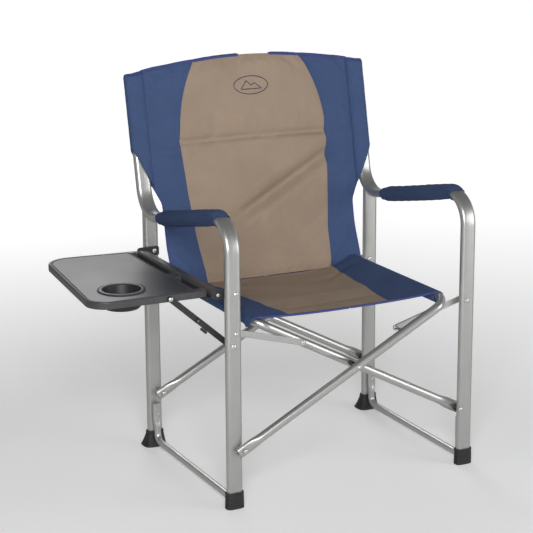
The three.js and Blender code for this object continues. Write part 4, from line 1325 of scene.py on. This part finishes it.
def sleeve_section(steps=40):
    """The sleeve round a post: a flat oval with a point towards the middle, where it is sewn.
    Gives points (towards the middle, towards the front)."""
    half = TUBE_WIDE / 2 + SLEEVE_PAD
    thick = TUBE_THICK / 2 + SLEEVE_PAD
    tip = LEG_X - SLEEVE_X + 5 * MM
    outline = []
    for u, v in superellipse(half, thick, SLEEVE_POWER, steps):
        if u > 0:
            share = u / half
            u = share * tip
            v = v * (1 - 0.25 * share ** 3) if share <= 0.93 else math.copysign(1.2 * MM, v)
        outline.append((u, v))
    return outline


def sleeve_crumple(share, u, v):
    """Soft waves and small wrinkles in the sleeve's depth, which closes at the top."""
    wave = 0.8 * MM * math.sin(7 * share * math.pi + 3 * u / TUBE_WIDE) * math.sin(math.pi * share)
    wrinkle = 0.6 * MM * math.sin(23 * share + 90 * u) * math.sin(41 * share - 60 * v)
    closing = max(0.0, (share - 0.975) / 0.025)
    close = 0.25 + 0.75 * math.sqrt(max(0.0, 1 - closing ** 2))
    return close * (1 + (wave + wrinkle) / (TUBE_THICK / 2 + 4 * MM))


def sleeve_rings(side, sign, outline, rows, shape):
    """Rings from the slanted lower end upwards; shape(share, u, v) scales their depth."""
    rings = []
    for r in range(rows + 1):
        share = r / SLEEVE_ROWS
        flare = 1 + 0.10 * max(0.0, 1 - share / 0.08)
        for u, v in outline:
            x = LEG_X - u
            low = cut_height(side, x)
            z = low + share * (sleeve_top(x) - low)
            rings.append(on_post_plane(sign * x, z, v * flare * shape(share, u, v)))
    return rings


def make_sleeve(side, sign):
    """A cloth pocket over the post, closed at the top, with a lining set in its lower end."""
    outline = sleeve_section()
    lining = [(u * 0.94, v * 0.84) for u, v in outline]
    points = sleeve_rings(side, sign, lining, LINING_ROWS, lambda share, u, v: 1.0)
    points += sleeve_rings(side, sign, outline, SLEEVE_ROWS, sleeve_crumple)
    faces = solid_faces(len(points) // len(outline), len(outline))
    piece = mesh_piece(f"post_sleeve_{side}", points, faces, SLEEVE_CLOTH, 60.0)
    turn_out(piece.data)
    dress(piece, f"{side}_side", "fabric_blue", f"back_sleeve_{side}")
    places = [LEG_X + share * TUBE_WIDE * 0.55 for share in np.linspace(-1.0, 1.0, 16)]
    points = [on_post_plane(sign * x, sleeve_top(x) - 1 * MM, 0.0) for x in places]
    tape(f"sleeve_binding_{side}", points, [POST_OUT] * len(points), 7 * MM, 12 * MM, f"{side}_side")


# ---- Seat ---------------------------------------------------------------------------------------

LOOP_COLUMNS = 10
SEAT_BLUE_COLUMNS = 9
SEAT_TAN_COLUMNS = 26
SEAT_ROWS = 44
RAIL_SEAM = 16 * MM        # from the rail's middle to the seam that closes the sleeve
HEM_THICK = SEAT_THICK + 2.4 * MM

# Places are (from the middle, from the front edge); a negative depth goes down.
SEAT_CREASES = (
    ((0.190, 0.355), (0.100, 0.290), 12, -2.5),
    ((-0.190, 0.355), (-0.100, 0.290), 12, -2.5),
    ((-0.140, 0.060), (0.090, 0.075), 10, -1.2),
    ((-0.120, 0.140), (0.120, 0.150), 16, 1.4),
)


def seat_sag(x, share):
    """How far the seat hangs below its rails: `share` runs from the front edge to the rear."""
    deep = SEAT_SAG["front"] + (SEAT_SAG["rear"] - SEAT_SAG["front"]) * share ** 1.25
    reach = RAIL_X - 2 * MM - 10 * MM * share
    return deep * (1 - np.clip(np.abs(x) / reach, 0, 1) ** (2.6 + 2.2 * share))


def seat_columns(share):
    """Places across the sheet between the rails, with one column on the chair's middle."""
    left, right = (front + (rear - front) * share for front, rear in SEAT_TAN.values())
    half = SEAT_TAN_COLUMNS // 2
    return np.concatenate([np.linspace(-RAIL_X, left, SEAT_BLUE_COLUMNS + 1)[:-1],
                           np.linspace(left, 0, half + 1)[:-1],
                           np.linspace(0, right, half + 1),
                           np.linspace(right, RAIL_X, SEAT_BLUE_COLUMNS + 1)[1:]])


def tube_bend_share(side, y):
    """0 where the rail is straight, 1 where it has bent away: at the left front and right rear."""
    if side == "left":
        past, fade = FRAME_Y["b"] - LEG_DEPTH / 2 + CROSS_BEND - y, 20 * MM
    else:
        past, fade = y - (FRAME_Y["a"] + LEG_DEPTH / 2 - CROSS_BEND), 14 * MM
    return smoothstep(past, -2 * MM, fade)


def seat_loop(side, y):
    """The sheet's way round its rail, nearly all the way, or a hanging flap where the rail bends.
    Gives places across, heights, and lengths along the cloth from the chair's middle."""
    bent = tube_bend_share(side, y)
    wrapped, flap = math.radians(288), math.radians(128)
    turns = (wrapped + (flap - wrapped) * bent) * np.arange(LOOP_COLUMNS, 0, -1) / LOOP_COLUMNS
    radius = SEAT_LOOP_R + (2.2 * MM + 5 * MM * bent) * np.sin(turns / 2) ** 2
    sign = SIDES[side]
    return (sign * (RAIL_X + radius * np.sin(turns)), RAIL_Z + radius * np.cos(turns),
            sign * (RAIL_X + SEAT_LOOP_R * turns))


def seat_grids():
    """The seat's points, from the underside of one rail across to the other, and their lengths
    along the cloth from the middle."""
    points, lengths = [], []
    for share in np.linspace(0, 1, SEAT_ROWS + 1):
        y = SEAT_FRONT_Y + share * SEAT_DEPTH
        x = seat_columns(share)
        sheet = (x, RAIL_Z + SEAT_LOOP_R - seat_sag(x, share), x)
        row = zip(seat_loop("left", y), sheet, seat_loop("right", y))
        across, height, length = (np.concatenate([left, flat, right[::-1]]) for left, flat, right in row)
        points.append(np.stack([MIDDLE_X + across, np.full_like(across, y), height], axis=-1))
        lengths.append(length)
    return np.array(points), np.array(lengths)


def from_front(shape):
    """Distance of each row of the seat from its front edge, as a grid."""
    return np.linspace(0, SEAT_DEPTH, shape[0])[:, None] * np.ones((1, shape[1]))


def make_seat():
    points, x = seat_grids()
    y_run = from_front(x.shape)
    normal = grid_normals(points)
    ripple = creases(x, y_run, SEAT_CREASES)
    ripple += 0.4 * MM * np.sin(y_run * 52 + 1.3 * np.sin(x * 9)) * (1 - np.abs(x) / 0.3)
    ripple[np.abs(x) >= RAIL_X] = 0
    top = points + normal * ripple[..., None]
    under = top - normal * SEAT_THICK
    pinned = pinned_edges(x.shape, LOOP_COLUMNS + 1)
    top, under = settle(top, under, pinned, pressure=0.3, slack=0.001, cap=1.5 * MM)
    top, under, x = refine(top), refine(under), refine(x)
    y = SEAT_FRONT_Y + from_front(x.shape)
    middle, last, loop = x.shape[1] // 2, x.shape[1] - 1, 2 * LOOP_COLUMNS
    top[:, middle, 0] = under[:, middle, 0] = MIDDLE_X

    uv = np.stack([x, y], axis=-1)
    paint = paint_columns(LOOP_COLUMNS + SEAT_BLUE_COLUMNS, SEAT_TAN_COLUMNS, x.shape[1])
    parts = (("left", "sleeve", 0, loop), ("left", "cloth", loop, middle),
             ("right", "cloth", middle, last - loop), ("right", "sleeve", last - loop, last))
    for side, part, c0, c1 in parts:
        piece = cut_piece(f"seat_{part}_{side}", top, under, uv, paint, c0, c1)
        dress(piece, f"seat_{side}", "fabric_tan", f"seat_{side}")
        if part == "cloth":
            flatten_seat(piece)
    trim_seat(Sheet(top, x, y))


def flatten_seat(piece):
    """Gives the piece a mesh of its own."""
    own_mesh(piece)


def trim_seat(sheet):
    """Seams beside the tan panel and the rails, and a hem along the front and the rear edge."""
    for side, sign in SIDES.items():
        body = f"seat_{side}"
        shares = np.linspace(0.02, 0.98, 60)
        front, rear = SEAT_TAN[side]
        beside_tan = front + (rear - front) * shares + sign * 3 * MM
        beside_rail = np.full_like(shares, sign * (RAIL_X - RAIL_SEAM))
        for seam, places in (("seat_seam", beside_tan), ("rail_seam", beside_rail)):
            line = sheet.line(zip(places, SEAT_FRONT_Y + shares * SEAT_DEPTH))
            flatten_seat(stitches(f"{seam}_{side}", *line, body, BLUE_THREAD))
        for edge, y in (("front", SEAT_FRONT_Y + 1 * MM), ("rear", SEAT_REAR_Y - 1 * MM)):
            places = [(sign * share * RAIL_X, y) for share in np.linspace(0.0, 1, 60)]
            points, normals = sheet.line(places, -SEAT_THICK / 2)
            points[0][0] = MIDDLE_X
            hem = tape(f"seat_hem_{edge}_{side}", points, normals, 6 * MM, HEM_THICK, body)
            flatten_seat(hem)


# ---- Arm pads -----------------------------------------------------------------------------------

PAD_ROWS = 46
PAD_SIDES = 44
PAD_SAG = 2.4 * MM


def arm_place(distance):
    """The arm's centreline at a distance from its front corner, bend included, and the way up."""
    corner = Vector((0, FRONT_Y, arm_corner()))
    along = (Vector((0, POST_CORNER.y, POST_CORNER.z)) - corner).normalized()
    down = Vector((0, along.z, -along.y))
    tangent = FRONT_BEND * math.tan((math.pi / 2 + math.atan(ARM_DROP)) / 2)
    if distance >= tangent:
        return corner + along * distance, -down
    arc = (tangent - distance) / FRONT_BEND
    start = corner + along * tangent
    point = start - along * FRONT_BEND * math.sin(arc) + down * FRONT_BEND * (1 - math.cos(arc))
    along = along * math.cos(arc) - down * math.sin(arc)
    return point, Vector((0, -along.z, along.y))


def pad_outline(wide, tall, share):
    """The pad's section, drawn in at both ends, puckered, and hanging a little below the tube."""
    nip = 1 - 0.10 * hump(min(share, 1 - share), 0.035)
    outline = []
    for x, y in superellipse(wide * nip, tall * nip, 2.7, PAD_SIDES):
        pucker = 0.5 * MM * math.sin(share * 60) * math.sin(math.atan2(y, x) * 3)
        outline.append((x, y * (1 + pucker / tall) - (PAD_SAG if y < 0 else 0.0)))
    return outline


def pad_bore(share):
    """The pad's inside, close round the tube and a little wider at its ends."""
    grow = 1 + 0.12 * hump(min(share, 1 - share), 0.02)
    gap = 0.4 * MM
    return superellipse((TUBE_WIDE / 2 + gap) * grow, (TUBE_THICK / 2 + gap) * grow, 3.2, PAD_SIDES)


def make_arm_pad(side, sign):
    """A padded cloth sleeve round the arm, open and turned in at both ends."""
    low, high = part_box(f"arm_pad_{side}")
    start = low.y - FRONT_Y - 2 * MM
    end = (high.y - FRONT_Y) / math.cos(math.atan(ARM_DROP))
    wide, tall = (high.x - low.x) / 2 - 1.5 * MM, TUBE_THICK / 2 + 6 * MM

    def at(share, x, height):
        point, up = arm_place(start + share * (end - start))
        return point + Vector((side_x(sign) + x, 0, 0)) + up * height

    shares = [r / PAD_ROWS for r in range(PAD_ROWS + 1)]
    rings = [(share, pad_outline(wide, tall, share)) for share in shares]
    rings += [(share, pad_bore(share)) for share in reversed(shares)]
    points = [at(share, x, height) for share, outline in rings for x, height in outline]
    faces = ring_faces(len(rings), PAD_SIDES, closed=True)
    piece = mesh_piece(f"arm_cushion_{side}", points, faces, BLUE_PAD, 70.0)
    turn_out(piece.data)
    swell_pad(piece, len(shares) * PAD_SIDES)
    dress(piece, f"{side}_side", "fabric_blue", f"arm_pad_{side}")
    for edge, way in (("outer", sign), ("inner", -sign)):
        points, normals = [], []
        for share in np.linspace(0.05, 0.95, 50):
            points.append(at(share, way * 0.93 * wide, -tall * 0.72 - PAD_SAG))
            _, up = arm_place(start + share * (end - start))
            normals.append((Vector((way, 0, 0)) - up).normalized())
        stitches(f"pad_seam_{side}_{edge}", points, normals, f"{side}_side", BLUE_THREAD)


def swell_pad(piece, outer_count):
    """Pressure pushes the pad's outer skin out; the skin against the tube stays."""
    places = vertex_places(piece.data)
    held = list(range(outer_count, len(places)))
    travel = cloth_travel(piece, held, pressure=3.0, frames=16, cap=2.5 * MM, mass=0.3,
                          bending_stiffness=0.8, shrink_min=-0.02)
    travel[outer_count:] = 0
    piece.data.vertices.foreach_set("co", (places + travel).ravel())
    piece.data.update()


# ---- Studio -------------------------------------------------------------------------------------

CHAIR_CENTRE = (MIDDLE_X, FRONT_Y + LEG_DEPTH / 2)
LIGHT_TARGET = (*CHAIR_CENTRE, 0.45)
LIGHTS = {     # place, size and power
    "key": ((-1.6, -3.4, 1.9), 1.5, 100),
    "fill": ((2.6, -2.6, 1.1), 2.0, 30),
    "rim": ((0.8, 2.8, 2.2), 1.6, 20),
}
FLOOR_HALF = 12.0
CAMERA_AZIMUTH = math.radians(-27.7)
CAMERA_ELEVATION = math.radians(14.3)
CAMERA_DISTANCE = 3.93


def aimed(name, data, place, target):
    """A new lamp or camera at a place, looking at its target."""
    thing = bpy.data.objects.new(name, data)
    bpy.context.scene.collection.objects.link(thing)
    thing.location = place
    thing.rotation_mode = "QUATERNION"
    thing.rotation_quaternion = (Vector(target) - Vector(place)).to_track_quat("-Z", "Y")
    return thing


def make_lights():
    for name, (place, size, power) in LIGHTS.items():
        lamp = bpy.data.lights.new(name, "AREA")
        lamp.shape = "DISK"
        lamp.size = size
        lamp.energy = power
        aimed(name, lamp, place, LIGHT_TARGET)


def make_floor():
    """Pale paper that catches soft shadows by the chair and glows white further off."""
    s = Surface("pale_floor")
    clouds = s.noise(s.place(), 3.0, 2.0)
    away = s.node("VectorMath", {0: s.place("Object", (1, 1, 0))}, operation="LENGTH").outputs["Value"]
    seen = s.node("LightPath").outputs["Is Camera Ray"]
    glow = s.math("MULTIPLY", s.spread(away, 0.22, 0.86, 0.7, 3.5), seen)
    base = s.shade(clouds, (0.80, 0.80, 0.80), (0.84, 0.84, 0.84))
    paper = s.finish(Base_Color=base, Roughness=0.95, Specular_IOR_Level=0.1,
                     Emission_Color=(1, 1, 1, 1), Emission_Strength=glow)
    corners = [(x * FLOOR_HALF, y * FLOOR_HALF, 0) for x, y in ((-1, -1), (1, -1), (1, 1), (-1, 1))]
    mesh_piece("floor", corners, [(0, 1, 2, 3)], paper)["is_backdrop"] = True


def make_world():
    """A white room for the camera; as a light it is bright at eye level and dimmer overhead."""
    world = bpy.data.worlds.new("studio")
    bpy.context.scene.world = world
    world.use_nodes = True
    tree = world.node_tree
    height = tree.nodes.new("ShaderNodeSeparateXYZ")
    tree.links.new(tree.nodes.new("ShaderNodeTexCoord").outputs["Generated"], height.inputs[0])
    light = tree.nodes.new("ShaderNodeMapRange")
    for key, value in {"From Min": 0.05, "From Max": 0.75, "To Min": 0.42, "To Max": 0.10}.items():
        light.inputs[key].default_value = value
    tree.links.new(height.outputs[2], light.inputs["Value"])
    seen = tree.nodes.new("ShaderNodeMix")
    tree.links.new(tree.nodes.new("ShaderNodeLightPath").outputs["Is Camera Ray"], seen.inputs[0])
    tree.links.new(light.outputs[0], seen.inputs[2])
    seen.inputs[3].default_value = 0.93
    tree.nodes["Background"].inputs["Color"].default_value = (0.97, 0.98, 1.0, 1)
    tree.links.new(seen.outputs[0], tree.nodes["Background"].inputs["Strength"])


def make_camera():
    around, up = CAMERA_AZIMUTH, CAMERA_ELEVATION
    back = Vector((math.sin(around) * math.cos(up), -math.cos(around) * math.cos(up), math.sin(up)))
    lens = bpy.data.cameras.new("camera")
    lens.lens = 116
    lens.shift_x = -0.075
    lens.clip_end = 60
    low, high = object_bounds()
    target = Vector((*CHAIR_CENTRE, (low.z + high.z) / 2))
    bpy.context.scene.camera = aimed("camera", lens, target + back * CAMERA_DISTANCE, target)


# ---- The chair ----------------------------------------------------------------------------------

for side, sign in SIDES.items():
    make_side_frame(side, sign)
    make_foot(side, sign, "front", FRONT_Y)
    make_foot(side, sign, "rear", REAR_Y)
    make_sleeve(side, sign)
    make_arm_pad(side, sign)

make_cross_frame("a", -1)
make_cross_frame("b", 1)

RIVETS = [n for n in frame["nodes"] if "rivet" in n or "link_pin" in n]
for node in sorted(RIVETS):
    make_rivet(node)
for row in ("front", "rear"):
    make_spacer(f"crossing_spacer_{row}")
    make_spacer(f"lower_spacer_{row}")
    make_bar(f"link_left_{row}", True, LINK_WIDE, CROSS_TUBE, "tube_silver", f"stay_left_{row}")
    make_bar(f"link_right_{row}", False, LINK_WIDE, CROSS_TUBE, "tube_silver", f"stay_right_{row}")
    make_bracket(f"hinge_bracket_{row}")
make_bar("brace_upper", True, BRACE_WIDE, BLACK_STEEL, "black_steel", "brace_bar_upper")
make_bar("brace_lower", True, BRACE_WIDE, BLACK_STEEL, "black_steel", "brace_bar_lower")
make_latch()
make_table()

make_seat()
make_back()

for side in SIDES:
    plug = frame["nodes"][f"post_plug_{side}"].data
    plug.materials.clear()
    plug.materials.append(BLACK)

make_floor()
make_world()
make_lights()
make_camera()
bpy.context.scene.view_settings.view_transform = "Standard"
